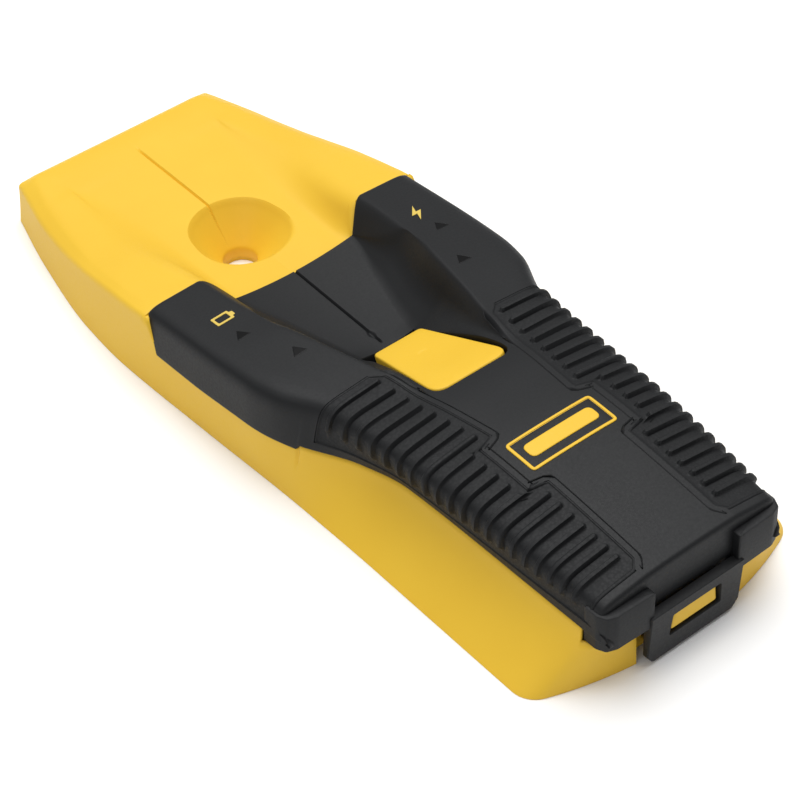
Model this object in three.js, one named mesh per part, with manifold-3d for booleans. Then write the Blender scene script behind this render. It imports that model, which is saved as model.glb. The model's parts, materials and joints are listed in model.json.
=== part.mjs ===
// Handheld stud finder: a low wedge-nosed housing with a ribbed pistol-waist grip,
// a centre-marking hole through the nose, a sprung power button and a battery door
// on the underside. Millimetres, +Z up, +Y towards the nose, sole on z = 0.

import * as THREE from 'three';
import { mergeVertices } from 'three/addons/utils/BufferGeometryUtils.js';
import Module from 'manifold-3d';

const wasm = await Module();
wasm.setup();

// ---------------------------------------------------------------- driving dimensions

const GAP = 0.3;                 // clearance between neighbouring pieces
const WALL = 2.0;                // housing wall
const COVER_WALL = 1.6;          // top cover wall
const NOSE_Y = 83.4;             // front edge of the sole
const BASE_TAIL_Y = -80.6;       // rear face of the yellow housing
const COVER_TAIL_Y = -81.2;      // rear edge of the top panel
const HULL_TAIL_Y = -83.4;       // rearmost face of the latch frame
const SOLE_THICKNESS = 2.0;

const MARK_Y = 41.2;             // centre of the marking hole
const MARK_BORE_R = 3.3;
const MARK_TUBE_R = 4.9;
const DISH_R = 9.4;              // rim of the conical dish
const DISH_NECK_Z = 3.6;         // where the cone meets the bore
const CHANNEL_Z = 10.5;          // deck along the centre line

const BUTTON_TILT = Math.atan(0.352);      // the button face rises towards the tail
const BUTTON_MID = [0, -17.5, 18.0];       // centre of the button's face
const BUTTON_LENGTH = 22.6;
const BUTTON_FRONT_HALF = 5.4;
const BUTTON_REAR_HALF = 8.4;

const BADGE_Y = -50.4;
const BADGE_HALF_WIDTH = 9.3;
const BADGE_HALF_DEPTH = 3.7;

const DOOR_HALF_WIDTH = 15.6;
const DOOR_FRONT_Y = -25.0;
const DOOR_REAR_Y = -78.3;
const HINGE_Y = -23.6;
const HINGE_Z = 1.3;

const BATTERY = { width: 26.2, length: 46.3, height: 16.9, frontY: -29.6, bottomZ: 2.3 };
const BOARD = { bottomZ: 3.5, thickness: 1.4, frontY: 66, rearY: -21.6 };

// Control stations of the outer form: [y, value], joined by smooth curves.
const SOLE_HALF = [[83.4, 23.4], [67.5, 27.7], [46.4, 31.6], [34.8, 32.3], [11, 31.4],
  [-17, 30.1], [-38, 29.8], [-73, 29.8]];
const RIM_HALF = [[82.9, 22.6], [67.5, 26.6], [51, 29.2], [41, 30.2], [27, 30.9], [10, 30.9],
  [-4, 30.1], [-13, 28.0], [-25.2, 22.4], [-35, 20.1], [-50, 19.6], [-76, 19.3]];
const RIM_Z = [[82.9, 8.5], [67.5, 8.9], [58, 9.8], [51, 11.1], [41, 13.2], [32, 14.8], [27, 15.6],
  [10, 15.6], [-4, 14.0], [-14, 10.5], [-35, 11.2], [-50, 11.7], [-76, 12.0]];
const PARTING_Z = [[28, 8.9], [22, 9.1], [10, 9.6], [-4, 10.2], [-14, 10.5], [-35, 11.2],
  [-50, 11.7], [-76, 12.0]];
const SHOULDER_X = [[82.9, 19.6], [67.5, 23.6], [51, 26.6], [41, 27.6], [27, 28.2]];
const SHOULDER_Z = [[82.9, 8.7], [80.2, 10.1], [67.5, 10.5], [51, 12.1], [41, 14.1], [27, 16.4]];
const BANK_X = [[82.9, 18.4], [66, 19.2], [51, 21.2], [41, 19.4], [32, 17.8], [27, 17.6]];
const BANK_Z = [[82.9, 8.7], [80.2, 10.3], [66, 10.7], [51, 12.3], [41, 14.2], [32, 16.0], [27, 17.0]];
const FOOT_X = [[82.9, 17.4], [71, 17.0], [58, 15.2], [47, 14.0], [23, 13.5]];
const FOOT_Z = [[82.9, 8.7], [80.2, 10.3], [71, 10.8], [47, 11.0], [23, 11.2]];
const DECK_Z = [[82.9, 8.7], [80.2, 10.2], [76, CHANNEL_Z], [20, CHANNEL_Z]];

// The black top cover: centre line, valley foot, valley crest, shoulder, edge and skirt.
const COVER_MID_Z = [[30, 11.6], [23, 11.5], [-1, 11.1], [-7, 13.4], [-28.8, 21.9], [-36, 22.9],
  [-47, 23.5], [-56, 23.2], [-70, 22.0], [-81.2, 20.6]];
const COVER_FOOT_X = [[30, 13.7], [23, 13.5], [-1, 6.4], [-8, 6.6], [-22, 8.9], [-30, 9.4], [-81.2, 8.6]];
const COVER_FOOT_Z = [[30, 12.7], [23, 12.6], [-1, 11.4], [-8, 12.9], [-22, 20.2], [-30, 22.0],
  [-36, 22.8], [-47, 23.4], [-56, 23.1], [-70, 21.9], [-81.2, 20.4]];
const COVER_CREST_X = [[30, 17.7], [11, 17.3], [2, 15.4], [-10, 12.9], [-23, 10.2], [-30, 10.2], [-81.2,
  9.6]];
const COVER_CREST_Z = [[30, 16.9], [27, 17.3], [11, 19.3], [2, 20.5], [-10, 21.3], [-23, 21.9],
  [-36, 22.7], [-47, 23.3], [-56, 23.0], [-70, 21.8], [-81.2, 20.3]];
const COVER_SHOULDER_X = [[30, 28.0], [0, 27.6], [-8, 26.4], [-18, 22.6], [-35, 21.2], [-62, 19.2],
  [-81.2, 17.4]];
const COVER_SHOULDER_Z = [[30, 16.6], [27, 16.9], [0, 19.6], [-8, 20.3], [-18, 20.7], [-35, 21.2],
  [-50, 21.6], [-70, 20.4], [-81.2, 19.3]];
const COVER_EDGE_X = [[30, 30.0], [11, 30.0], [-2, 29.7], [-8, 28.8], [-17.5, 24.7], [-35, 22.9],
  [-62, 20.8], [-81.2, 19.0]];
const COVER_EDGE_Z = [[30, 15.8], [27, 16.1], [11, 17.7], [-2, 18.6], [-18, 19.2], [-50, 19.7],
  [-81.2, 18.3]];
const SKIRT_PROUD = 0.4;         // the skirt stands this far outside the housing rim

// ---------------------------------------------------------------- helpers

// Smooth curve through [y, value] stations, without overshoot.
function curve(stations) {
  const s = [...stations].sort((a, b) => a[0] - b[0]);
  const n = s.length;
  const slope = s.slice(1).map((p, i) => (p[1] - s[i][1]) / (p[0] - s[i][0]));
  const tangent = s.map((_, i) => {
    if (i === 0) return slope[0];
    if (i === n - 1) return slope[n - 2];
    return slope[i - 1] * slope[i] <= 0 ? 0 : 2 / (1 / slope[i - 1] + 1 / slope[i]);
  });
  return (y) => {
    if (y <= s[0][0]) return s[0][1];
    if (y >= s[n - 1][0]) return s[n - 1][1];
    let i = 0;
    while (y > s[i + 1][0]) i += 1;
    const h = s[i + 1][0] - s[i][0];
    const t = (y - s[i][0]) / h;
    const rise = t * t * (3 - 2 * t);
    return s[i][1] * (1 - rise) + s[i + 1][1] * rise
      + h * tangent[i] * t * (1 - t) * (1 - t) - h * tangent[i + 1] * t * t * (1 - t);
  };
}

function geometryFrom(positions, indices) {
  const geometry = new THREE.BufferGeometry();
  geometry.setAttribute('position', new THREE.Float32BufferAttribute(positions, 3));
  geometry.setIndex(indices);
  return geometry;
}

// Closed body through symmetric sections. halfAt(y) lists [x, z] from the bottom centre,
// out and up to the top centre; stations run towards -y.
function loft(stations, halfAt) {
  const rings = stations.map((y) => {
    const half = halfAt(y);
    const mirror = half.slice(1, -1).reverse().map(([x, z]) => [-x, z]);
    return [...half, ...mirror].map(([x, z]) => [x, y, z]);
  });
  const count = rings[0].length;
  const indices = [];
  for (let r = 0; r + 1 < rings.length; r += 1) {
    for (let i = 0; i < count; i += 1) {
      const j = (i + 1) % count;
      const a = r * count + i;
      const b = r * count + j;
      indices.push(a, b, a + count, b, b + count, a + count);
    }
  }
  const cap = (ring, facesNose) => {
    const flat = rings[ring].map(([x, , z]) => new THREE.Vector2(x, z));
    for (const face of THREE.ShapeUtils.triangulateShape(flat, [])) {
      const turned = THREE.ShapeUtils.area(face.map((i) => flat[i])) > 0;
      const [a, b, c] = face.map((i) => ring * count + i);
      indices.push(...(turned === facesNose ? [a, c, b] : [a, b, c]));
    }
  };
  cap(0, true);
  cap(rings.length - 1, false);
  return geometryFrom(rings.flat(2), indices);
}

function toSolid(geometry) {
  const bare = geometry.clone();
  bare.deleteAttribute('normal');
  bare.deleteAttribute('uv');
  const merged = mergeVertices(bare, 1e-4);
  const solid = new wasm.Manifold(new wasm.Mesh({
    numProp: 3,
    vertProperties: new Float32Array(merged.attributes.position.array),
    triVerts: new Uint32Array(merged.index.array),
  }));
  if (solid.volume() < 0) throw new Error('inside-out solid');
  return solid;
}

function toGeometry(solid) {
  const mesh = solid.getMesh();
  return geometryFrom(Array.from(mesh.vertProperties), Array.from(mesh.triVerts));
}

function outline(points, holes = []) {
  const shape = new THREE.Shape(points.map(([x, y]) => new THREE.Vector2(x, y)));
  for (const hole of holes) {
    shape.holes.push(new THREE.Path(hole.map(([x, y]) => new THREE.Vector2(x, y))));
  }
  return shape;
}

// Upright prism over a plan shape, from z0 to z1.
function prism(shape, z0, z1) {
  return new THREE.ExtrudeGeometry(shape, { depth: z1 - z0, bevelEnabled: false, curveSegments: 5 })
    .translate(0, 0, z0);
}

function box(x0, x1, y0, y1, z0, z1) {
  return new THREE.BoxGeometry(x1 - x0, y1 - y0, z1 - z0)
    .translate((x0 + x1) / 2, (y0 + y1) / 2, (z0 + z1) / 2);
}

function upright(radius, z0, z1, x = 0, y = 0, sides = 24, topRadius = radius) {
  return new THREE.CylinderGeometry(topRadius, radius, z1 - z0, sides)
    .rotateX(Math.PI / 2).translate(x, y, (z0 + z1) / 2);
}

// Plan outline of a rectangle or trapezoid with round corners.
function roundedPlan(frontHalf, rearHalf, y0, y1, radius) {
  const shape = new THREE.Shape();
  shape.moveTo(-rearHalf + radius, y0);
  shape.lineTo(rearHalf - radius, y0);
  shape.quadraticCurveTo(rearHalf, y0, rearHalf, y0 + radius);
  shape.lineTo(frontHalf, y1 - radius);
  shape.quadraticCurveTo(frontHalf, y1, frontHalf - radius, y1);
  shape.lineTo(-frontHalf + radius, y1);
  shape.quadraticCurveTo(-frontHalf, y1, -frontHalf, y1 - radius);
  shape.lineTo(-rearHalf, y0 + radius);
  shape.quadraticCurveTo(-rearHalf, y0, -rearHalf + radius, y0);
  return shape;
}

function cut(body, ...tools) {
  return tools.reduce((result, tool) => result.subtract(tool), body);
}

function join(body, ...others) {
  return others.reduce((result, other) => result.add(other), body);
}

// ---------------------------------------------------------------- materials

const finish = (color, roughness, metalness = 0) =>
  new THREE.MeshStandardMaterial({ color, roughness, metalness });

const yellowAbs = () => finish(0xf0b41e, 0.45);
const blackAbs = () => finish(0x2c2c2e, 0.5);
const blackRubber = () => finish(0x232324, 0.85);
const darkLens = () => finish(0x070708, 0.12);
const paleInk = () => finish(0xf4d870, 0.6);
const steel = () => finish(0xb9bcc0, 0.3, 1);
const laminate = () => finish(0x1d5b34, 0.55);
const copper = () => finish(0xc8814a, 0.35, 1);
const chipResin = () => finish(0x17181a, 0.6);
const darkNylon = () => finish(0x2a2a2c, 0.5);
const printedCan = () => finish(0x8d9196, 0.35, 0.6);
const blueSleeve = () => finish(0x22345c, 0.4);
const redVinyl = () => finish(0xb4202a, 0.5);
const blackVinyl = () => finish(0x151516, 0.5);
const clearLed = () => finish(0xd8e2e6, 0.15);

const stud_finder = new THREE.Group();

function add(name, shape, material) {
  const geometry = shape.isBufferGeometry ? shape : toGeometry(shape);
  const mesh = new THREE.Mesh(geometry, material);
  mesh.name = name;
  stud_finder.add(mesh);
}

// ---------------------------------------------------------------- outer forms

const soleHalf = curve(SOLE_HALF);
const rimHalf = curve(RIM_HALF);
const rimZ = curve(RIM_Z);
const partingZ = curve(PARTING_Z);
const shoulderX = curve(SHOULDER_X);
const shoulderZ = curve(SHOULDER_Z);
const bankX = curve(BANK_X);
const bankZ = curve(BANK_Z);
const footX = curve(FOOT_X);
const footZ = curve(FOOT_Z);
const deckZ = curve(DECK_Z);

const TAIL_ARC_R = 74;           // bow of the rear edge in plan
const TAIL_Y = -81.4;            // rearmost point of that bow
const CORNER_R = 5;              // rear corners in plan
const SPLIT_Y = 20.6;            // the deck runs forward of here, the open tub behind it

// Half width left by the bowed tail and its round corners, at a plan position y.
function tailLimit(y, sideHalf) {
  const bow = TAIL_ARC_R ** 2 - (TAIL_Y + TAIL_ARC_R - y) ** 2;
  const arc = bow > 0 ? Math.sqrt(bow) : 0;
  const reach = Math.sqrt((TAIL_ARC_R - CORNER_R) ** 2 - (sideHalf - CORNER_R) ** 2);
  const cornerY = TAIL_Y + TAIL_ARC_R - reach;
  if (y >= cornerY) return sideHalf;
  const drop = cornerY - y;
  const round = drop < CORNER_R ? sideHalf - CORNER_R + Math.sqrt(CORNER_R ** 2 - drop ** 2) : 0;
  return Math.min(sideHalf, Math.max(arc, round));
}

const FLANK_STEPS = 5;

// Half width of the flank, which is hollowed between the sole (t = 0) and the rim (t = 1).
function flankX(y, t, sole = tailLimit(y, soleHalf(y))) {
  const rim = Math.min(sole - 0.5, rimHalf(y));
  return rim + (sole - rim) * Math.max(0, 1 - t) ** 1.35;
}

// Half section of the yellow housing; inset moves the skin inwards.
function housingHalf(y, inset, bottomZ, openTop) {
  const onDeck = y > SPLIT_Y;
  const wallTopZ = onDeck ? rimZ(y) : partingZ(y);
  const topZ = openTop ? 30 : wallTopZ - inset;
  const half = [[0, bottomZ], [flankX(y, 0) - inset, bottomZ]];
  for (let i = 1; i <= FLANK_STEPS; i += 1) {
    const z = wallTopZ * i / FLANK_STEPS;
    half.push([flankX(y, z / rimZ(y)) - inset, i === FLANK_STEPS ? topZ : z]);
  }
  if (onDeck && !openTop) {
    half.push([shoulderX(y) - inset, shoulderZ(y) - inset], [bankX(y) - inset / 2, bankZ(y) - inset],
      [footX(y) - inset / 2, footZ(y) - inset], [0, deckZ(y) - inset]);
  } else {
    const flat = flankX(y, partingZ(y) / rimZ(y)) - inset;
    half.push([flat * 0.8, topZ], [flat * 0.6, topZ], [flat * 0.4, topZ], [0, topZ]);
  }
  return half;
}

const coverMidZ = curve(COVER_MID_Z);
const coverFootX = curve(COVER_FOOT_X);
const coverFootZ = curve(COVER_FOOT_Z);
const coverCrestX = curve(COVER_CREST_X);
const coverCrestZ = curve(COVER_CREST_Z);
const coverShoulderX = curve(COVER_SHOULDER_X);
const coverShoulderZ = curve(COVER_SHOULDER_Z);
const coverEdgeX = curve(COVER_EDGE_X);
const coverEdgeZ = curve(COVER_EDGE_Z);

// Half section of the top cover; grow moves the skin outwards, skirtZ sets its lower edge.
function coverHalf(y, grow, skirtDrop) {
  const skirtZ = partingZ(y) + GAP - skirtDrop;
  const shrink = Math.min(grow, 0);
  const skirtX = flankX(y, (partingZ(y) + GAP) / rimZ(y), soleHalf(y)) + SKIRT_PROUD + grow;
  return [[0, skirtZ], [skirtX, skirtZ],
    [coverEdgeX(y) + grow, coverEdgeZ(y) + grow * 0.4],
    [coverShoulderX(y) + grow * 0.4, coverShoulderZ(y) + grow],
    [coverCrestX(y) - shrink * 0.5, coverCrestZ(y) + grow],
    [coverFootX(y) - shrink * 0.5, coverFootZ(y) + grow],
    [0, coverMidZ(y) + grow]];
}

function stationsBetween(from, to, step, extra = []) {
  const count = Math.max(1, Math.round((from - to) / step));
  const list = Array.from({ length: count + 1 }, (_, i) => from + (to - from) * i / count);
  return [...new Set([...list, ...extra.filter((y) => y < from && y > to)])].sort((a, b) => b - a);
}

const coverStations = stationsBetween(30, COVER_TAIL_Y, 4.6, [-1, -8]);
const coverForm = (grow, skirtDrop = 0) => toSolid(loft(coverStations, (y) => coverHalf(y, grow, skirtDrop)));

// Plan or elevation shapes turned into bodies: a side profile [y, z] carried along x,
// and a front profile [x, z] carried towards -y.
function acrossX(shape, x0, x1) {
  return new THREE.ExtrudeGeometry(shape, { depth: x1 - x0, bevelEnabled: false, curveSegments: 5 })
    .applyMatrix4(new THREE.Matrix4().set(0, 0, 1, x0, 1, 0, 0, 0, 0, 1, 0, 0, 0, 0, 0, 1));
}

function alongY(shape, frontY, depth) {
  return new THREE.ExtrudeGeometry(shape, { depth, bevelEnabled: false, curveSegments: 5 })
    .applyMatrix4(new THREE.Matrix4().set(1, 0, 0, 0, 0, 0, -1, frontY, 0, 1, 0, 0, 0, 0, 0, 1));
}

// Everything in front of the arms' slanted faces and of the chamfered notch between them.
const FACE_LEAN = 0.58;          // the front faces run back as they go down
const NOTCH_Y = 23.1;
const faceY = (z) => 22.7 + FACE_LEAN * (z - 9);

function frontCutter(growth) {
  const side = outline([[faceY(-2) + growth, -2], [60, -2], [60, 32], [faceY(32) + growth, 32]]);
  const notch = outline([[-17.7 + growth, 27.2], [-13.5 + growth, NOTCH_Y + growth],
    [13.5 - growth, NOTCH_Y + growth], [17.7 - growth, 27.2], [21.7 - growth, 31], [-21.7 + growth, 31]]);
  return toSolid(acrossX(side, -40, 40)).add(toSolid(prism(notch, -2, 32)));
}

// ---------------------------------------------------------------- tail blocks and latch frame

const BLOCK = { inner: 9.2, outer: 19.6, frontY: -77.4, rearY: -82.9, bottomZ: 9.9, topZ: 17.8 };
const FRAME_HALF = 10.2;
const FRAME_TOP_Z = 12.4;
const FRAME_INNER_Y = -81.5;
const FRAME_FOOT_Y = -82.5;      // the frame's rear face runs forward as it goes down
const WINDOW = { half: 5.6, z0: 5.2, z1: 9.9 };

function tailBlock(side, growth) {
  const a = side * (BLOCK.inner - growth);
  const b = side * (BLOCK.outer + growth);
  const rear = BLOCK.rearY - growth;
  const points = [[a, BLOCK.frontY + growth], [b, BLOCK.frontY + growth], [b, rear + 2.6],
    [b - side * 0.8, rear + 0.9], [b - side * 2.6, rear + 0.2], [a, rear]];
  return toSolid(prism(outline(side > 0 ? points : points.reverse()),
    BLOCK.bottomZ - growth, BLOCK.topZ + growth));
}

function latchFrame(growth) {
  const half = FRAME_HALF + growth;
  const foot = 0.7 - growth;
  const ring = outline([[-half + 1.3, foot], [half - 1.3, foot], [half, foot + 1.9], [half, FRAME_TOP_Z],
    [-half, FRAME_TOP_Z], [-half, foot + 1.9]],
  growth > 0 ? [] : [[[-WINDOW.half, WINDOW.z0], [WINDOW.half, WINDOW.z0],
    [WINDOW.half - 0.4, WINDOW.z1], [-WINDOW.half + 0.4, WINDOW.z1]]]);
  const side = outline([[FRAME_INNER_Y + growth, -1], [FRAME_INNER_Y + growth, 20],
    [HULL_TAIL_Y - growth, 20],
    [HULL_TAIL_Y - growth, FRAME_TOP_Z], [FRAME_FOOT_Y - growth, -1]]);
  return toSolid(alongY(ring, FRAME_INNER_Y + 3, 8)).intersect(toSolid(acrossX(side, -30, 30)));
}

// ---------------------------------------------------------------- button frame of reference

// Places a shape built flat (z = 0 at the button's face) on the tilted button face.
function onButtonFace(geometry) {
  return geometry.rotateX(-BUTTON_TILT).translate(...BUTTON_MID);
}

function buttonPlan(growth) {
  const half = BUTTON_LENGTH / 2 + growth;
  return roundedPlan(BUTTON_FRONT_HALF + growth, BUTTON_REAR_HALF + growth, -half, half, 1.8);
}

// ---------------------------------------------------------------- grip pads

const PAD = { frontY: -17.2, rearY: -78.6 };
function padPlan(side, growth) {
  const g = growth;
  const points = [[40, PAD.frontY + g], [14.2, PAD.frontY + g], [12.2 - g, PAD.frontY - 1.8], [11.6 - g,
    -22.6],
    [9.3 - g, -43.2 - g], [12.6 - g, -44.2 - g], [12.6 - g, -56.4 + g], [9.0 - g, -57.2 + g],
    [9.0 - g, PAD.rearY + 1.4], [10.4 - g, PAD.rearY - g], [40, PAD.rearY - g]];
  const placed = points.map(([x, y]) => [side * x, y]);
  return outline(side > 0 ? placed : placed.reverse());
}

// The pads wrap over the edge; below this plane the skirt is bare.
function padFloor(growth) {
  return toSolid(acrossX(outline([[0, 13.4 - growth], [0, 40], [-90, 40], [-90, 14.8 - growth]]), -40, 40));
}

// ---------------------------------------------------------------- markers on the arms

const ARM_MARKS = { iconX: 22.2, iconY: 14.3, lensX: [22.6, 18.6], lensY: [7.9, -3.2] };

function trianglePlan(x, y, size, turn) {
  return outline([0, 1, 2].map((k) => {
    const angle = turn + k * 2 * Math.PI / 3;
    return [x + size * Math.cos(angle), y + size * Math.sin(angle)];
  }));
}

function batteryIconPlan(x, y) {
  const [w, h] = [2.3, 1.7];
  return outline([[x - w, y - h], [x + w, y - h], [x + w, y - 0.6], [x + w + 0.6, y - 0.6],
    [x + w + 0.6, y + 0.6], [x + w, y + 0.6], [x + w, y + h], [x - w, y + h]],
  [[[x - w + 0.55, y - h + 0.55], [x - w + 0.55, y + h - 0.55], [x + w - 0.55, y + h - 0.55],
    [x + w - 0.55, y - h + 0.55]]]);
}

function boltIconPlan(x, y) {
  return outline([[x + 0.9, y + 2.4], [x - 1.3, y - 0.3], [x - 0.1, y - 0.3], [x - 0.9, y - 2.4],
    [x + 1.3, y + 0.4], [x + 0.1, y + 0.4]]);
}

// A piece of the cover's skin, between two depths below (or above) its surface.
function skinPiece(plan, above, below) {
  return toSolid(prism(plan, 0, 40)).intersect(coverForm(above)).subtract(coverForm(below, 4));
}

// ---------------------------------------------------------------- top cover

const LENSES = [-1, 1].flatMap((side) => [0, 1].map((row) => ({
  name: `${side < 0 ? 'left' : 'right'}_${row ? 'rear' : 'front'}_lens`,
  plan: (growth) => trianglePlan(side * ARM_MARKS.lensX[row], ARM_MARKS.lensY[row],
    1.35 + growth * 1.6, Math.PI / 2),
  x: side * ARM_MARKS.lensX[row],
  y: ARM_MARKS.lensY[row],
})));
const badgePlan = (growth) => roundedPlan(BADGE_HALF_WIDTH + growth, BADGE_HALF_WIDTH + growth,
  BADGE_Y - BADGE_HALF_DEPTH - growth, BADGE_Y + BADGE_HALF_DEPTH + growth, 0.8);

const coverOuter = cut(coverForm(0), frontCutter(0));
const coverGrown = join(cut(coverForm(GAP, GAP), frontCutter(GAP)), tailBlock(-1, GAP), tailBlock(1, GAP),
  latchFrame(GAP));

const coverCavity = cut(coverForm(-COVER_WALL, 8), frontCutter(-COVER_WALL),
  toSolid(box(-50, 50, -100, COVER_TAIL_Y + COVER_WALL, -5, 40)));
const POCKET = { half: 6.3, frontY: -2.0, rearY: -6.9, topZ: 9.6, bottomZ: 8.2 };
const pocketFloor = toSolid(box(-8, 8, POCKET.rearY, 0.5, POCKET.bottomZ, POCKET.topZ + 1.6));
const pocketCut = toSolid(prism(roundedPlan(POCKET.half, POCKET.half, POCKET.rearY - 2, POCKET.frontY, 0.4),
  POCKET.topZ, 30));
const buttonCut = toSolid(onButtonFace(prism(buttonPlan(0.35), -4, 12)));

let cover = cut(coverOuter, coverCavity);
cover = join(cover, tailBlock(-1, 0), tailBlock(1, 0), latchFrame(0), pocketFloor);
const batteryRoom = toSolid(box(-13.6, 13.6, -79.6, -29, -1, 19.5));
cover = cut(cover, pocketCut, buttonCut, batteryRoom);
for (const side of [-1, 1]) {
  const recess = cut(toSolid(prism(padPlan(side, GAP), 0, 40)).intersect(padFloor(GAP)), coverForm(-1.0, 4));
  cover = cut(cover, recess);
}
for (const lens of LENSES) cover = cut(cover, toSolid(prism(lens.plan(GAP), 12, 30)));
cover = cut(cover, cut(toSolid(prism(badgePlan(GAP), 0, 40)), coverForm(-0.8, 4)));
add('top_cover', cover, blackAbs());

for (const side of [-1, 1]) {
  const name = side < 0 ? 'left_grip_pad' : 'right_grip_pad';
  add(name, skinPiece(padPlan(side, 0), 0.45, -0.7).intersect(padFloor(0)), blackRubber());
}
for (const lens of LENSES) add(lens.name, skinPiece(lens.plan(0), -0.05, -2.2), darkLens());
add('badge_plate', skinPiece(badgePlan(0), 0.35, -0.5), yellowAbs());
add('battery_icon', skinPiece(batteryIconPlan(-ARM_MARKS.iconX, ARM_MARKS.iconY), 0.36, 0.08), paleInk());
add('live_wire_icon', skinPiece(boltIconPlan(ARM_MARKS.iconX, ARM_MARKS.iconY), 0.36, 0.08), paleInk());

// ---------------------------------------------------------------- yellow housing

const tailStations = [0, 0.25, 0.45, 0.62, 0.77, 0.9, 1].map((t) => -73 + (BASE_TAIL_Y + 73) * t);
const housingStations = [NOSE_Y, 82.9, 81.4, 80.2, ...stationsBetween(76, SPLIT_Y + 0.01, 5.6),
  ...stationsBetween(SPLIT_Y, -70, 5.4), ...tailStations];
const NOSE_FACE = { y: 82.9, drop: 2 };    // forward of here the upper skin drops to a blunt face
const noseDrop = (y, z) => (y > NOSE_FACE.y && z > 3 ? NOSE_FACE.drop : 0);
const housingForm = (inset, bottomZ, openTop, stations) => toSolid(loft(stations, (y) =>
  housingHalf(y, inset, bottomZ, openTop).map(([x, z]) => [x, z - noseDrop(y, z)])));

const frontCavity = housingForm(WALL, -1, false, [81.2, ...stationsBetween(79.6, SPLIT_Y + 0.02, 7)]);
const rearCavity = housingForm(WALL, -1, true, [...stationsBetween(SPLIT_Y + 0.6, -70, 7), -73, -76.4,
  -78.7]);
const channelSlot = toSolid(box(-0.4, 0.4, MARK_Y + DISH_R - 0.4, 74, CHANNEL_Z - 0.5, 20));
const dish = toSolid(upright(MARK_BORE_R + 0.2, DISH_NECK_Z, 12.2, 0, MARK_Y, 32, DISH_R + 1.7));
const bore = toSolid(upright(MARK_BORE_R, -2, 20, 0, MARK_Y));
const markTube = toSolid(upright(MARK_TUBE_R, 0, 10, 0, MARK_Y, 24));
const dishWall = toSolid(upright(MARK_TUBE_R, 2.6, 10.3, 0, MARK_Y, 32, DISH_R + 2));
const latchGate = toSolid(box(-FRAME_HALF - 0.5, FRAME_HALF + 0.5, -90, -76, -2, 30));

const BOSSES = [[-18.5, 60], [18.5, 60], [-21.6, -33], [21.6, -33]];
const BOSS = { radius: 2.7, pilot: 1.3, bottomZ: 2.3, topZ: 9.5, pilotTopZ: 7.4 };
const housingOuter = housingForm(0, 0, false, housingStations);
let housing = cut(housingOuter, frontCavity, rearCavity);
const posts = BOSSES.map(([x, y]) => toSolid(upright(BOSS.radius, BOSS.bottomZ, BOSS.topZ, x, y, 16)));
housing = join(housing, ...posts.map((post) => post.intersect(housingOuter)), dishWall, markTube);
housing = cut(housing, dish, bore, channelSlot, latchGate, coverGrown);
for (const [x, y] of BOSSES) {
  housing = cut(housing, toSolid(upright(BOSS.pilot, 0, BOSS.pilotTopZ, x, y, 12)));
}
add('main_housing', housing, yellowAbs());

// ---------------------------------------------------------------- sole plate

const soleInset = WALL + GAP + 0.2;
const soleStations = [80.7, ...stationsBetween(78, -70, 9), -73, -76.4, -78.2];
const soleForm = toSolid(loft(soleStations, (y) => {
  const upper = flankX(y, SOLE_THICKNESS / rimZ(y)) - soleInset;
  return [[0, 0], [flankX(y, 0.1) - soleInset, 0], [upper, SOLE_THICKNESS], [0, SOLE_THICKNESS]];
}));
const openingHalf = DOOR_HALF_WIDTH + 0.35;
const doorOpening = toSolid(box(-openingHalf, openingHalf, -95, HINGE_Y - 0.6, -2, 30));
const swingRelief = toSolid(box(-openingHalf, openingHalf, -95, HINGE_Y - 0.3, -2, 0.35));
const HINGE = { pinR: 0.6, pinHalf: 14.4, barrelR: 1.2, barrelHalf: 10, lugHalf: 14.8 };
const crosswise = (radius, half, sides = 14) => new THREE.CylinderGeometry(radius, radius, 2 * half, sides)
  .rotateZ(Math.PI / 2).translate(0, HINGE_Y, HINGE_Z);
const SCREW = { headR: 2.3, headZ: 1.5, shaftR: 1.0, tipZ: 7.0 };
let sole = cut(soleForm, doorOpening, swingRelief, toSolid(upright(MARK_TUBE_R + GAP, -2, 5, 0, MARK_Y)));
for (const [x, y] of BOSSES) {
  sole = cut(sole, toSolid(upright(SCREW.headR + GAP, -1, SCREW.headZ, x, y, 20)),
    toSolid(upright(SCREW.shaftR + GAP, -1, 6, x, y, 12)));
}
const lugBar = toSolid(box(-HINGE.lugHalf, HINGE.lugHalf, HINGE_Y - 0.6, HINGE_Y + 1.6,
  SOLE_THICKNESS - 0.4, SOLE_THICKNESS + 0.9));
const barrelSide = HINGE.barrelHalf + 0.4;
const barrelRoom = toSolid(box(-barrelSide, barrelSide, -30, HINGE_Y + 1.7, -2, 10));
sole = cut(join(sole, lugBar), barrelRoom, toSolid(crosswise(HINGE.pinR + 0.15, HINGE.pinHalf + GAP)));
add('sole_plate', sole, yellowAbs());
BOSSES.forEach(([x, y], i) => {
  const head = toSolid(upright(SCREW.headR, 0.2, SCREW.headZ - GAP, x, y, 20));
  const shaft = toSolid(upright(SCREW.shaftR, 0.6, SCREW.tipZ, x, y, 10));
  const slots = [toSolid(box(x - 1.3, x + 1.3, y - 0.25, y + 0.25, -1, 0.7)),
    toSolid(box(x - 0.25, x + 0.25, y - 1.3, y + 1.3, -1, 0.7))];
  add(`case_screw_${i + 1}`, cut(join(head, shaft), ...slots), steel());
});

// ---------------------------------------------------------------- battery door and its latch

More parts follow.
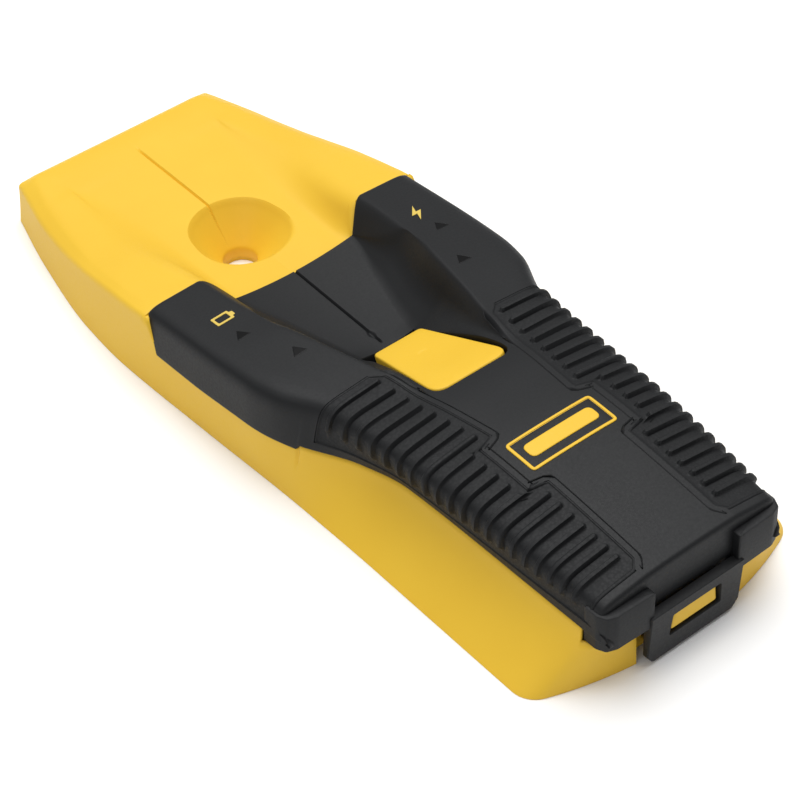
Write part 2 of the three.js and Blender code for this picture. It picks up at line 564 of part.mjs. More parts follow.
const DOOR = { bottomZ: 0.3, topZ: 1.9, lipZ: 8.4 };
const DOOR_POST = { inner: 7.4, outer: 9.0, depth: 1.2 };
const doorPlate = box(-DOOR_HALF_WIDTH, DOOR_HALF_WIDTH, DOOR_REAR_Y, DOOR_FRONT_Y, DOOR.bottomZ, DOOR.topZ);
const doorNeck = box(-HINGE.barrelHalf, HINGE.barrelHalf, DOOR_FRONT_Y - 0.5, HINGE_Y - GAP,
  DOOR.bottomZ, DOOR.topZ);
let door = join(toSolid(doorPlate), toSolid(crosswise(HINGE.barrelR, HINGE.barrelHalf)), toSolid(doorNeck));
for (const side of [-1, 1]) {
  const [x0, x1] = [side * DOOR_POST.inner, side * DOOR_POST.outer].sort((p, q) => p - q);
  const post = box(x0, x1, DOOR_REAR_Y, DOOR_REAR_Y + DOOR_POST.depth, DOOR.topZ - 0.5, DOOR.lipZ);
  door = join(door, toSolid(post));
}
door = cut(door, toSolid(crosswise(HINGE.pinR + 0.15, 20)));
const GRIP_GROOVES = [-74.5, -72.5, -70.5, -68.5];
for (const y of GRIP_GROOVES) {
  door = cut(door, toSolid(box(-9, 9, y - 0.45, y + 0.45, -1, DOOR.bottomZ + 0.5)));
}
add('battery_door', door, yellowAbs());
add('hinge_pin', crosswise(HINGE.pinR, HINGE.pinHalf), steel());

// The latch tab shows through the window of the frame and springs back after a push.
const LATCH = { half: 6.8, rearY: -80.75, thickness: 1.0, bottomZ: DOOR.topZ + GAP, topZ: 10.6 };
add('latch_tab', box(-LATCH.half, LATCH.half, LATCH.rearY, LATCH.rearY + LATCH.thickness,
  LATCH.bottomZ, LATCH.topZ), yellowAbs());

// ---------------------------------------------------------------- battery and its connector

const bat = BATTERY;
const batteryMidZ = bat.bottomZ + bat.height / 2;
const canPlan = new THREE.Shape();
canPlan.absarc(bat.width / 2 - 2, bat.height / 2 - 2, 2, 0, Math.PI / 2);
canPlan.absarc(-bat.width / 2 + 2, bat.height / 2 - 2, 2, Math.PI / 2, Math.PI);
canPlan.absarc(-bat.width / 2 + 2, -bat.height / 2 + 2, 2, Math.PI, Math.PI * 1.5);
canPlan.absarc(bat.width / 2 - 2, -bat.height / 2 + 2, 2, Math.PI * 1.5, Math.PI * 2);
add('battery_can', alongY(canPlan, bat.frontY, bat.length).translate(0, 0, batteryMidZ), printedCan());

const lengthwise = (radius, y0, y1, x, z, sides = 16) =>
  new THREE.CylinderGeometry(radius, radius, y1 - y0, sides).translate(x, (y0 + y1) / 2, z);
const STUD_X = 6.35;
const studEnds = [bat.frontY + GAP, bat.frontY + 2.2];
add('battery_negative_stud', lengthwise(3.6, ...studEnds, -STUD_X, batteryMidZ, 6), steel());
add('battery_positive_stud', lengthwise(2.8, ...studEnds, STUD_X, batteryMidZ), steel());
const CONNECTOR = { half: 12.4, thickness: 2.2, halfHeight: 5.6 };
const connectorY = studEnds[1] + GAP;
add('battery_connector', box(-CONNECTOR.half, CONNECTOR.half, connectorY, connectorY + CONNECTOR.thickness,
  batteryMidZ - CONNECTOR.halfHeight, batteryMidZ + CONNECTOR.halfHeight), chipResin());

const LEAD_R = 0.65;
const leadSection = new THREE.Shape().absarc(0, 0, LEAD_R, 0, Math.PI * 2);
function lead(side) {
  const path = new THREE.CatmullRomCurve3([
    [side * 10.6, connectorY + 2.5, 8.0], [side * 10.8, connectorY + 4.0, 7.8], [side * 10.2, -21.8, 7.4],
    [side * 9.4, -19.8, 6.6], [side * 9.2, -18.4, BOARD.bottomZ + BOARD.thickness + 1.2]]
    .map((p) => new THREE.Vector3(...p)));
  return new THREE.ExtrudeGeometry(leadSection, { steps: 14, curveSegments: 4, extrudePath: path });
}
add('red_lead', lead(1), redVinyl());
add('black_lead', lead(-1), blackVinyl());

// ---------------------------------------------------------------- circuit board

const boardTop = BOARD.bottomZ + BOARD.thickness;
const boardHalf = [[17, BOARD.frontY], [22, BOARD.frontY - 12], [25.6, 40], [25.4, 6], [20, BOARD.rearY + 6],
  [20, BOARD.rearY]];
const boardPlan = outline([...boardHalf.map(([x, y]) => [-x, y]), ...[...boardHalf].reverse()]);
const boardForm = toSolid(prism(boardPlan, BOARD.bottomZ, boardTop));
const boardHoles = [toSolid(upright(MARK_TUBE_R + 2.6, 0, 10, 0, MARK_Y)),
  ...BOSSES.slice(0, 2).map(([x, y]) => toSolid(upright(BOSS.radius + 0.5, 0, 10, x, y, 16))),
  toSolid(box(-13.4, 13.4, HINGE_Y - 4, HINGE_Y + 2.6, 0, 10))];
add('circuit_board', cut(boardForm, ...boardHoles), laminate());

const PLATE_TOP = BOARD.bottomZ - GAP;
add('centre_sensor_plate', box(-5.5, 5.5, 49, 64, PLATE_TOP - 0.4, PLATE_TOP), copper());
for (const side of [-1, 1]) {
  const [x0, x1] = side < 0 ? [-20, -8.5] : [8.5, 20];
  const name = side < 0 ? 'left_sensor_plate' : 'right_sensor_plate';
  add(name, box(x0, x1, 22, 54, PLATE_TOP - 0.4, PLATE_TOP), copper());
}

const seat = boardTop + GAP;
add('controller_chip', box(-5, 5, 19, 29, seat, seat + 1.5), chipResin());
add('amplifier_chip', box(8.5, 13.5, 24, 28, seat, seat + 1.4), chipResin());
const CRYSTAL_R = 1.4;
add('timing_crystal', new THREE.CapsuleGeometry(CRYSTAL_R, 4.2, 3, 10).rotateZ(Math.PI / 2)
  .translate(-11, 26, seat + CRYSTAL_R), steel());
const BUZZER = { x: 14.2, y: 12, radius: 5.6, height: 2.6, soundHoleR: 0.9 };
const buzzerCase = toSolid(upright(BUZZER.radius, seat, seat + BUZZER.height, BUZZER.x, BUZZER.y));
const soundHole = toSolid(upright(BUZZER.soundHoleR, seat + 1.4, 20, BUZZER.x, BUZZER.y, 10));
add('buzzer', cut(buzzerCase, soundHole), chipResin());
add('storage_capacitor', upright(2.4, seat, seat + 6, -14, 8, 18), blueSleeve());

// Lamps under the lenses and symbols, each a domed body on its own post.
const LAMP_R = 1.5;
function lamp(x, y, topZ) {
  const flangeR = LAMP_R + 0.3;
  const flangeZ = seat + 0.8;
  const profile = [[0, seat], [flangeR, seat], [flangeR, flangeZ], [LAMP_R, flangeZ], [LAMP_R, topZ - LAMP_R],
    [LAMP_R * 0.7, topZ - LAMP_R * 0.3], [0, topZ]].map(([r, z]) => new THREE.Vector2(r, z));
  return new THREE.LatheGeometry(profile, 12).rotateX(Math.PI / 2).translate(x, y, 0);
}
const LENS_LAMP_Z = 13.6;
const ICON_LAMP_Z = 12.8;
for (const lens of LENSES) add(lens.name.replace('lens', 'lamp'), lamp(lens.x, lens.y, LENS_LAMP_Z),
  clearLed());
add('battery_lamp', lamp(-ARM_MARKS.iconX, ARM_MARKS.iconY, ICON_LAMP_Z), clearLed());
add('live_wire_lamp', lamp(ARM_MARKS.iconX, ARM_MARKS.iconY, ICON_LAMP_Z), clearLed());

// ---------------------------------------------------------------- power button, spring and switch

const SWITCH = { y: -15.2, half: 3.0, bodyTopZ: seat + 3.4, plungerR: 1.6, plungerTopZ: seat + 4.6 };
const switchCase = toSolid(box(-SWITCH.half, SWITCH.half, SWITCH.y - SWITCH.half, SWITCH.y + SWITCH.half,
  seat, SWITCH.bodyTopZ));
const switchBore = toSolid(upright(SWITCH.plungerR + GAP, seat + 1.6, 20, 0, SWITCH.y, 16));
add('switch_body', cut(switchCase, switchBore), chipResin());
add('switch_plunger', upright(SWITCH.plungerR, seat + 2.2, SWITCH.plungerTopZ, 0, SWITCH.y, 16), darkNylon());

const SPRING = { y: -9.4, coilR: 1.7, wireR: 0.3, bottomZ: 5.5, topZ: 10.9, turns: 4 };
const capThickness = 2.2;
const capPlate = toSolid(onButtonFace(prism(buttonPlan(0), -capThickness, 0)));
const dished = toSolid(new THREE.SphereGeometry(70, 40, 24).translate(0, 0, 69.6).rotateX(-BUTTON_TILT)
  .translate(...BUTTON_MID));
const stem = toSolid(upright(1.9, SWITCH.plungerTopZ + 0.85, 17.4, 0, SWITCH.y - 0.4, 16));
const springCup = toSolid(upright(2.4, SPRING.topZ + GAP, 14.4, 0, SPRING.y, 16));
add('power_button', join(cut(capPlate, dished), stem, springCup), yellowAbs());

class Helix extends THREE.Curve {
  getPoint(t) {
    const angle = t * SPRING.turns * 2 * Math.PI;
    const z = SPRING.bottomZ + SPRING.wireR + t * (SPRING.topZ - SPRING.bottomZ - 2 * SPRING.wireR);
    return new THREE.Vector3(SPRING.coilR * Math.cos(angle), SPRING.y + SPRING.coilR * Math.sin(angle), z);
  }
}
const wireSection = new THREE.Shape().absarc(0, 0, SPRING.wireR, 0, Math.PI * 2);
add('button_spring', new THREE.ExtrudeGeometry(wireSection, { steps: 56, curveSegments: 3,
  extrudePath: new Helix() }),
  steel());

export default stud_finder;
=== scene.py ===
"""Looks of the handheld stud finder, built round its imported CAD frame.

Lengths in this file are millimetres in the frame of the CAD model: +Z up out of the sole,
+Y towards the nose, the sole on z = 0. They become metres where a mesh is made.
"""

import json
import logging
import math
from dataclasses import dataclass, field
from enum import Enum
from typing import Callable, Sequence

import bmesh
import bpy
import numpy as np
from mathutils import Matrix, Vector

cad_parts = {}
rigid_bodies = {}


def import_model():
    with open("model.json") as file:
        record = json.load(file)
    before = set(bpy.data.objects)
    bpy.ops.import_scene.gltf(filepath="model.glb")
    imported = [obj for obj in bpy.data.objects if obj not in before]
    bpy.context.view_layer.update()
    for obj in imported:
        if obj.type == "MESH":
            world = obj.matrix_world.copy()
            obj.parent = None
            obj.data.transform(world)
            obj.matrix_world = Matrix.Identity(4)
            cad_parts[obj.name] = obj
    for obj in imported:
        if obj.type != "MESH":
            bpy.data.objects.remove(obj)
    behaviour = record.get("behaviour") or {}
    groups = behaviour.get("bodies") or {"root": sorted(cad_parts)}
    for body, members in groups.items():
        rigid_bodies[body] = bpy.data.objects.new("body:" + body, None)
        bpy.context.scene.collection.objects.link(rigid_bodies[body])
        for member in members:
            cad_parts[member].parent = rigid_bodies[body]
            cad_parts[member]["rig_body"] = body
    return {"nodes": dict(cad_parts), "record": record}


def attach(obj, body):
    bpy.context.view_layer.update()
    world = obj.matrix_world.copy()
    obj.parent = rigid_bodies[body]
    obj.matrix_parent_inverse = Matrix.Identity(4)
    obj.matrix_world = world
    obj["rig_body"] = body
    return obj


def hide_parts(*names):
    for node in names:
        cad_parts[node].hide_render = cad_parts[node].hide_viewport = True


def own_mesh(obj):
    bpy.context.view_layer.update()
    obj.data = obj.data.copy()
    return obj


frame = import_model()

LOG = logging.getLogger("stud_finder")
MM = 0.001
LEAST_SLOPE = 0.02  # upward part of a normal under which a surface counts as upright
SOLE_LEVEL = 0.05  # height in millimetres up to which a point lies on the sole
SOLE_SHARE = 0.1  # share of the wall that the lip under the sole keeps
WALL_STEPS = 20

Stations = tuple[tuple[float, float], ...]
Socket = bpy.types.NodeSocket
Lift = Callable[[np.ndarray, np.ndarray, np.ndarray], np.ndarray]


class Body(str, Enum):
    """Rigid bodies of the CAD model."""

    ROOT = "root"
    BUTTON = "button"
    PLUNGER = "plunger"
    DOOR = "door"
    LATCH = "latch"


class Slot(str, Enum):
    """Material slots of the record."""

    YELLOW = "yellow_abs"
    BLACK = "black_abs"
    RUBBER = "grip_rubber"
    LENS = "dark_lens"
    INK = "printed_symbol"
    STEEL = "steel"
    CAN = "battery_case"
    LAMINATE = "board_laminate"
    COPPER = "copper_plate"
    RESIN = "component_resin"
    LAMP = "clear_lamp"
    RED_WIRE = "red_insulation"
    BLACK_WIRE = "black_insulation"


# ---------------------------------------------------------------- curves and sections


def profile(stations: Stations, y: np.ndarray) -> np.ndarray:
    """Smooth curve through stations: a cubic between each pair, with harmonic-mean slopes.

    Args:
        stations: (y, value) pairs; the value is held beyond the first and last.
        y: places to read the curve at.

    Returns:
        The curve's values, shaped like y.
    """
    table = np.array(sorted(stations), float)
    at, value = table[:, 0], table[:, 1]
    slope = np.diff(value) / np.diff(at)
    before, after = slope[:-1], slope[1:]
    same = before * after > 0
    bend = np.zeros(len(at))
    bend[0], bend[-1] = slope[0], slope[-1]
    total = np.where(same, before + after, 1.0)
    bend[1:-1] = np.where(same, 2 * before * after / total, 0.0)
    y = np.clip(y, at[0], at[-1])
    i = np.clip(np.searchsorted(at, y) - 1, 0, len(at) - 2)
    step = np.diff(at)[i]
    t = (y - at[i]) / step
    rise = t * t * (3 - 2 * t)
    ease = step * t * (1 - t)
    return value[i] * (1 - rise) + value[i + 1] * rise + ease * (bend[i] * (1 - t) - bend[i + 1] * t)


def ramp(value: np.ndarray, low: float, high: float) -> np.ndarray:
    """Smooth step from 0 at low to 1 at high: 3t squared minus 2t cubed."""
    t = np.clip((value - low) / (high - low), 0.0, 1.0)
    return t * t * (3 - 2 * t)


def straight(points: Stations, y: np.ndarray) -> np.ndarray:
    """Straight lines through (y, value) points, held beyond the ends."""
    table = np.array(sorted(points), float)
    return np.interp(y, table[:, 0], table[:, 1])


@dataclass(frozen=True)
class Bend:
    """One control point of a section and how the section passes it.

    The section is straight between control points. Round each one it follows a parabola that
    starts `back` of the way to the point before it and ends `ahead` of the way to the next.
    """

    back: float
    ahead: float
    arc: int
    run: int


def section_weights(bends: Sequence[Bend]) -> np.ndarray:
    """Weights that mix control points into section points, one row for each section point.

    Args:
        bends: one for each control point; run counts the steps from it to the next point.

    Returns:
        An array with a row for each section point and a column for each control point.
    """
    count = len(bends)
    unit = np.eye(count)
    rows = []
    for k, bend in enumerate(bends):
        if 0 < k < count - 1 and bend.arc:
            s = (np.arange(1, bend.arc) / bend.arc)[:, None]
            start = unit[k] + bend.back * (unit[k - 1] - unit[k])
            end = unit[k] + bend.ahead * (unit[k + 1] - unit[k])
            rows.append((1 - s) ** 2 * start + 2 * s * (1 - s) * unit[k] + s**2 * end)
        if k < count - 1:
            low = bend.ahead if k else 0.0
            high = 1.0 - (bends[k + 1].back if k + 1 < count - 1 else 0.0)
            t = np.linspace(low, high, bend.run + 1)[:, None]
            rows.append((1 - t) * unit[k] + t * unit[k + 1])
    return np.concatenate(rows)


def rows_between(*marks: tuple[float, float]) -> np.ndarray:
    """Places from mark to mark, each stretch cut into steps no longer than its own size.

    Args:
        marks: (place, step) pairs; the step holds up to the next place.

    Returns:
        The places, each once.
    """
    parts = []
    for (start, step), (end, _) in zip(marks, marks[1:]):
        count = max(1, math.ceil(abs(end - start) / step - 1e-6))
        parts.append(np.linspace(start, end, count, endpoint=False))
    return np.concatenate([*parts, [marks[-1][0]]])


def surface_normals(points: np.ndarray) -> np.ndarray:
    """Unit normals of a grid of points: the cross product of its two central differences.

    Args:
        points: grid of points, rows by columns by 3.

    Returns:
        An array of the same shape.
    """
    along = np.gradient(points, axis=0)
    across = np.gradient(points, axis=1)
    normal = np.cross(across, along)
    length = np.linalg.norm(normal, axis=2, keepdims=True)
    return normal / np.maximum(length, 1e-9)


# ---------------------------------------------------------------- meshes


class Skin:
    """Grids of points in millimetres, welded into one mesh."""

    def __init__(self) -> None:
        """Starts empty."""
        self.points: list[np.ndarray] = []
        self.faces: list[np.ndarray] = []
        self.count = 0

    def grid(self, points: np.ndarray, keep: np.ndarray | None = None) -> None:
        """Adds a grid, one quad between each four neighbours.

        Args:
            points: array of rows by columns by 3.
            keep: which quads to make, or None for all.
        """
        rows, columns = points.shape[:2]
        index = np.arange(rows * columns).reshape(rows, columns) + self.count
        quads = np.stack([index[:-1, :-1], index[1:, :-1], index[1:, 1:], index[:-1, 1:]], -1)
        self.faces.append(quads[keep] if keep is not None else quads.reshape(-1, 4))
        self.points.append(points.reshape(-1, 3))
        self.count += rows * columns

    def ring(self, loops: Sequence[np.ndarray], closed: bool = True) -> None:
        """Adds a band through loops of the same number of points.

        Args:
            loops: arrays of n by 3, one after another.
            closed: whether each loop's last point joins its first.
        """
        stack = np.stack(loops)
        if closed:
            stack = np.concatenate([stack, stack[:, :1]], axis=1)
        self.grid(stack)

    def make(self, name: str, crease: float = 38.0, weld: float = 0.004) -> bpy.types.Object:
        """Welds the grids into one object whose faces point out.

        Args:
            name: the piece's name.
            crease: angle in degrees past which an edge is shaded sharp.
            weld: distance under which points become one.

        Returns:
            The new object, at the origin, with its place in its mesh.
        """
        mesh = bpy.data.meshes.new(name)
        points = np.concatenate(self.points) * MM
        faces = np.concatenate(self.faces)
        mesh.vertices.add(len(points))
        mesh.vertices.foreach_set("co", points.ravel())
        mesh.loops.add(faces.size)
        mesh.loops.foreach_set("vertex_index", faces.ravel())
        mesh.polygons.add(len(faces))
        mesh.polygons.foreach_set("loop_start", np.arange(0, faces.size, 4))
        mesh.update(calc_edges=True)
        tidy_mesh(mesh, weld)
        return placed(mesh, name, crease)


def tidy_mesh(mesh: bpy.types.Mesh, weld: float) -> None:
    """Merges near points, drops slivers and turns every face outwards.

    Args:
        mesh: the mesh to tidy.
        weld: distance in millimetres under which points become one.
    """
    work = bmesh.new()
    work.from_mesh(mesh)
    bmesh.ops.remove_doubles(work, verts=work.verts, dist=weld * MM)
    bmesh.ops.dissolve_degenerate(work, edges=work.edges, dist=weld * MM * 0.5)
    bmesh.ops.recalc_face_normals(work, faces=work.faces)
    middle = sum((v.co for v in work.verts), Vector()) / len(work.verts)
    outward = sum(f.normal.dot(f.calc_center_median() - middle) * f.calc_area() for f in work.faces)
    if outward < 0:
        bmesh.ops.reverse_faces(work, faces=work.faces)
    work.to_mesh(mesh)
    work.free()


def placed(mesh: bpy.types.Mesh, name: str, crease: float) -> bpy.types.Object:
    """Puts a mesh in the scene with smooth shading between its creases.

    Args:
        mesh: the finished mesh.
        name: the object's name.
        crease: angle in degrees past which an edge is shaded sharp.

    Returns:
        The object.
    """
    mesh.polygons.foreach_set("use_smooth", np.ones(len(mesh.polygons), bool))
    mesh.set_sharp_from_angle(angle=math.radians(crease))
    piece = bpy.data.objects.new(name, mesh)
    bpy.context.scene.collection.objects.link(piece)
    return piece


def thicken(piece: bpy.types.Object, wall: float, grounded: bool = False) -> None:
    """Gives an open skin a wall on its inner side.

    Args:
        piece: the skin.
        wall: the wall's thickness in millimetres.
        grounded: whether the wall thins out near z = 0, so that none of it goes below. The share of
            the wall kept at a point is height / (wall * upward part of the normal), at most 1.
    """
    solid = piece.modifiers.new("wall", "SOLIDIFY")
    solid.thickness = wall * MM
    solid.offset = -1.0
    solid.use_rim = True
    if not grounded:
        return
    count = len(piece.data.vertices)
    points, normals = np.empty(count * 3), np.empty(count * 3)
    piece.data.vertices.foreach_get("co", points)
    piece.data.vertices.foreach_get("normal", normals)
    height, slope = points[2::3] / MM, normals[2::3]
    share = np.clip(height / (wall * np.maximum(slope, LEAST_SLOPE)), 0, 1)
    share = np.where(slope > LEAST_SLOPE, share, 1.0)
    share[(height < SOLE_LEVEL) & (slope < 0)] = SOLE_SHARE
    group = piece.vertex_groups.new(name="room")
    level = np.floor(share * WALL_STEPS).astype(int)
    for step in range(WALL_STEPS + 1):
        group.add(np.flatnonzero(level == step).tolist(), step / WALL_STEPS, "REPLACE")
    solid.vertex_group = group.name
    solid.thickness_vertex_group = 0.0


def rounded_outline(corners: np.ndarray, radii: Sequence[float], steps: int, run: int) -> np.ndarray:
    """Closed outline through corners, each rounded by a parabola.

    Args:
        corners: array of n by 2, in order.
        radii: how far from each corner its rounding starts.
        steps: points in each rounding.
        run: points along each straight side.

    Returns:
        The outline's points, as an array of m by 2.
    """
    count = len(corners)
    parts = []
    for k in range(count):
        here, before, after = corners[k], corners[k - 1], corners[(k + 1) % count]
        back = here + radii[k] * (before - here) / np.linalg.norm(before - here)
        ahead = here + radii[k] * (after - here) / np.linalg.norm(after - here)
        s = np.linspace(0, 1, steps)[:, None]
        parts.append((1 - s) ** 2 * back + 2 * s * (1 - s) * here + s**2 * ahead)
        nxt = after + radii[(k + 1) % count] * (here - after) / np.linalg.norm(here - after)
        t = (np.arange(1, run) / run)[:, None]
        parts.append(ahead + t * (nxt - ahead))
    return np.concatenate(parts)


def inset_loop(loop: np.ndarray, amount: float) -> np.ndarray:
    """Moves an anticlockwise outline inwards by a fixed amount along its own normals.

    Args:
        loop: closed outline, n by 2.
        amount: how far to move it, in millimetres.

    Returns:
        The moved outline, point for point.
    """
    tangent = np.roll(loop, -1, axis=0) - np.roll(loop, 1, axis=0)
    length = np.maximum(np.linalg.norm(tangent, axis=1, keepdims=True), 1e-9)
    inward = np.stack([-tangent[:, 1], tangent[:, 0]], 1) / length
    return loop + amount * inward


def slab(
    name: str,
    outline: np.ndarray,
    rim: Sequence[tuple[float, float]],
    lift: Lift,
) -> bpy.types.Object:
    """Closed plate over a plan outline, with a shaped rim and a filled top and bottom.

    Args:
        name: the piece's name.
        outline: anticlockwise outline, n by 2.
        rim: (inset, height) pairs from the bottom edge round to the top edge.
        lift: function from x, y and height arrays to points in space.

    Returns:
        The new object.
    """
    skin = Skin()
    loops = []
    for inset, height in rim:
        flat = inset_loop(outline, inset)
        loops.append(lift(flat[:, 0], flat[:, 1], np.full(len(flat), height)))
    skin.ring(loops)
    for inset, height in (rim[0], rim[-1]):
        flat = inset_loop(outline, inset)
        middle = flat.mean(axis=0)
        shrunk = [middle + (flat - middle) * share for share in np.linspace(1, 0, 8)]
        skin.ring([lift(f[:, 0], f[:, 1], np.full(len(f), height)) for f in shrunk])
    return skin.make(name)


def circle(radius: float, count: int) -> np.ndarray:
    """Anticlockwise circle of points round the origin."""
    angle = np.arange(count) * 2 * math.pi / count
    return radius * np.stack([np.cos(angle), np.sin(angle)], 1)


def upright(x: np.ndarray, y: np.ndarray, h: np.ndarray) -> np.ndarray:
    """Points straight over a plan, at their own heights."""
    return np.stack([x, y, h], -1)


def band(name: str, outer: np.ndarray, inner: np.ndarray, low: float, high: float, bevel: float,
         lift: Lift) -> bpy.types.Object:
    """Closed frame between two outlines of the same number of points.

    Args:
        name: the piece's name.
        outer: outer outline, anticlockwise.
        inner: inner outline, point for point beside the outer one.
        low: height of the lower face.
        high: height of the upper face.
        bevel: width of the bevel on the upper edges.
        lift: function from x, y and height arrays to points in space.

    Returns:
        The new object.
    """
    skin = Skin()
    steps = ((outer, low), (outer, high - bevel), (inset_loop(outer, bevel), high),
             (inset_loop(inner, -bevel), high), (inner, high - bevel), (inner, low), (outer, low))
    skin.ring([lift(loop[:, 0], loop[:, 1], np.full(len(loop), level)) for loop, level in steps])
    return skin.make(name)


def by_angle(corners: np.ndarray, middle: tuple[float, float], count: int) -> np.ndarray:
    """Outline through corners, read at even angles round a point inside it.

    Args:
        corners: corners of the outline, in order.
        middle: the point inside it.
        count: number of angles.

    Returns:
        The outline, count by 2.
    """
    dense = rounded_outline(corners, [0.25] * len(corners), 5, 30) - middle
    angle = np.arctan2(dense[:, 1], dense[:, 0])
    order = np.argsort(angle)
    wanted = -math.pi + (np.arange(count) + 0.5) * 2 * math.pi / count
    radius = np.interp(wanted, angle[order], np.hypot(dense[:, 0], dense[:, 1])[order], period=2 * math.pi)
    return radius[:, None] * np.stack([np.cos(wanted), np.sin(wanted)], 1) + middle


# ---------------------------------------------------------------- finishes


def linear(code: str) -> tuple[float, float, float, float]:
    """Linear colour of an sRGB hex value such as "ECC547"."""
    parts = [int(code[i : i + 2], 16) / 255 for i in (0, 2, 4)]
    return (*[p / 12.92 if p <= 0.04045 else ((p + 0.055) / 1.055) ** 2.4 for p in parts], 1.0)


def node(
    tree: bpy.types.NodeTree,
    kind: str,
    inputs: dict[str | int, object] | None = None,
    **settings: object,
) -> bpy.types.Node:
    """Adds a node.

    Args:
        tree: the node tree.
        kind: the node's type name.
        inputs: values or other nodes' sockets, by the name or number of the input.
        settings: the node's own settings.

    Returns:
        The new node.
    """
    made = tree.nodes.new(kind)
    for key, value in settings.items():
        setattr(made, key, value)
    for key, value in (inputs or {}).items():
        if isinstance(value, bpy.types.NodeSocket):
            tree.links.new(value, made.inputs[key])
        else:
            made.inputs[key].default_value = value
    return made


@dataclass(frozen=True)
class Finish:
    """A moulded or otherwise isotropic surface: slow colour drift, fine grain, uneven gloss."""

    slot: Slot
    name: str
    colour: str
    drift: str
    roughness: float
    gloss_spread: float = 0.05
    grain_mm: float = 0.35
    grain_depth: float = 0.02
    metallic: float = 0.0
    ior: float = 1.5
    coat: float = 0.0
    clear: float = 0.0
    blotch_mm: float = 18.0

    def pattern(self, tree: bpy.types.NodeTree, place: Socket) -> Socket:
        """Height of the surface's own grain, from 0 to 1.

        Args:
            tree: the node tree.
            place: Object coordinates.

        Returns:
            The socket that gives the height, from 0 to 1.
        """
        noise = node(tree, "ShaderNodeTexNoise", {"Vector": place, "Scale": 1 / (self.grain_mm * MM),
                                                  "Detail": 2.0, "Roughness": 0.6})
        return noise.outputs["Fac"]

    def build(self) -> bpy.types.Material:
        """Makes the material: colour and roughness follow slow noise, bump follows the grain.

        Returns:
            The material.
        """
        material = bpy.data.materials.new(self.name)
        material.use_nodes = True
        tree = material.node_tree
        shader = tree.nodes["Principled BSDF"]
        shader.inputs["Metallic"].default_value = self.metallic
        shader.inputs["IOR"].default_value = self.ior
        shader.inputs["Coat Weight"].default_value = self.coat
        shader.inputs["Coat Roughness"].default_value = 0.2
        shader.inputs["Transmission Weight"].default_value = self.clear
        place = node(tree, "ShaderNodeTexCoord").outputs["Object"]
        drift = node(tree, "ShaderNodeTexNoise", {"Vector": place, "Scale": 1 / (self.blotch_mm * MM),
                                                  "Detail": 3.0, "Roughness": 0.55})
        colour = node(tree, "ShaderNodeMix", {0: drift.outputs["Fac"], 6: linear(self.colour),
                                              7: linear(self.drift)}, data_type="RGBA")
        tree.links.new(colour.outputs[2], shader.inputs["Base Color"])
        grain = self.pattern(tree, place)
        gloss = node(tree, "ShaderNodeMapRange", {"Value": grain, "From Min": 0.3, "From Max": 0.7,
                                                  "To Min": self.roughness - self.gloss_spread,
                                                  "To Max": self.roughness + self.gloss_spread})
        tree.links.new(gloss.outputs["Result"], shader.inputs["Roughness"])
        bump = node(tree, "ShaderNodeBump", {"Height": grain, "Strength": 1.0,
                                             "Distance": self.grain_depth * MM})
        tree.links.new(bump.outputs["Normal"], shader.inputs["Normal"])
        return material


@dataclass(frozen=True)
class BrushedMetal(Finish):
    """Metal with fine lines along one axis, as drawn or turned stock has."""

    stretch: tuple[float, float, float] = (0.06, 1.0, 1.0)

    def pattern(self, tree: bpy.types.NodeTree, place: Socket) -> Socket:
        """Noise drawn out along one axis, so that it reads as fine lines.

        Args:
            tree: the node tree.
            place: Object coordinates.

        Returns:
            The socket that gives the height, from 0 to 1.
        """
        drawn = node(tree, "ShaderNodeMapping", {"Vector": place, "Scale": self.stretch})
        noise = node(tree, "ShaderNodeTexNoise", {"Vector": drawn.outputs["Vector"],
                                                  "Scale": 1 / (self.grain_mm * MM), "Detail": 4.0})
        return noise.outputs["Fac"]


@dataclass(frozen=True)
class SparkedRubber(Finish):
    """Moulded thermoplastic rubber: a matt, faintly cellular surface."""

    def pattern(self, tree: bpy.types.NodeTree, place: Socket) -> Socket:
        """Small round cells, worked out from the distance to scattered points."""
        cells = node(tree, "ShaderNodeTexVoronoi", {"Vector": place, "Scale": 1 / (self.grain_mm * MM)})
        return cells.outputs["Distance"]


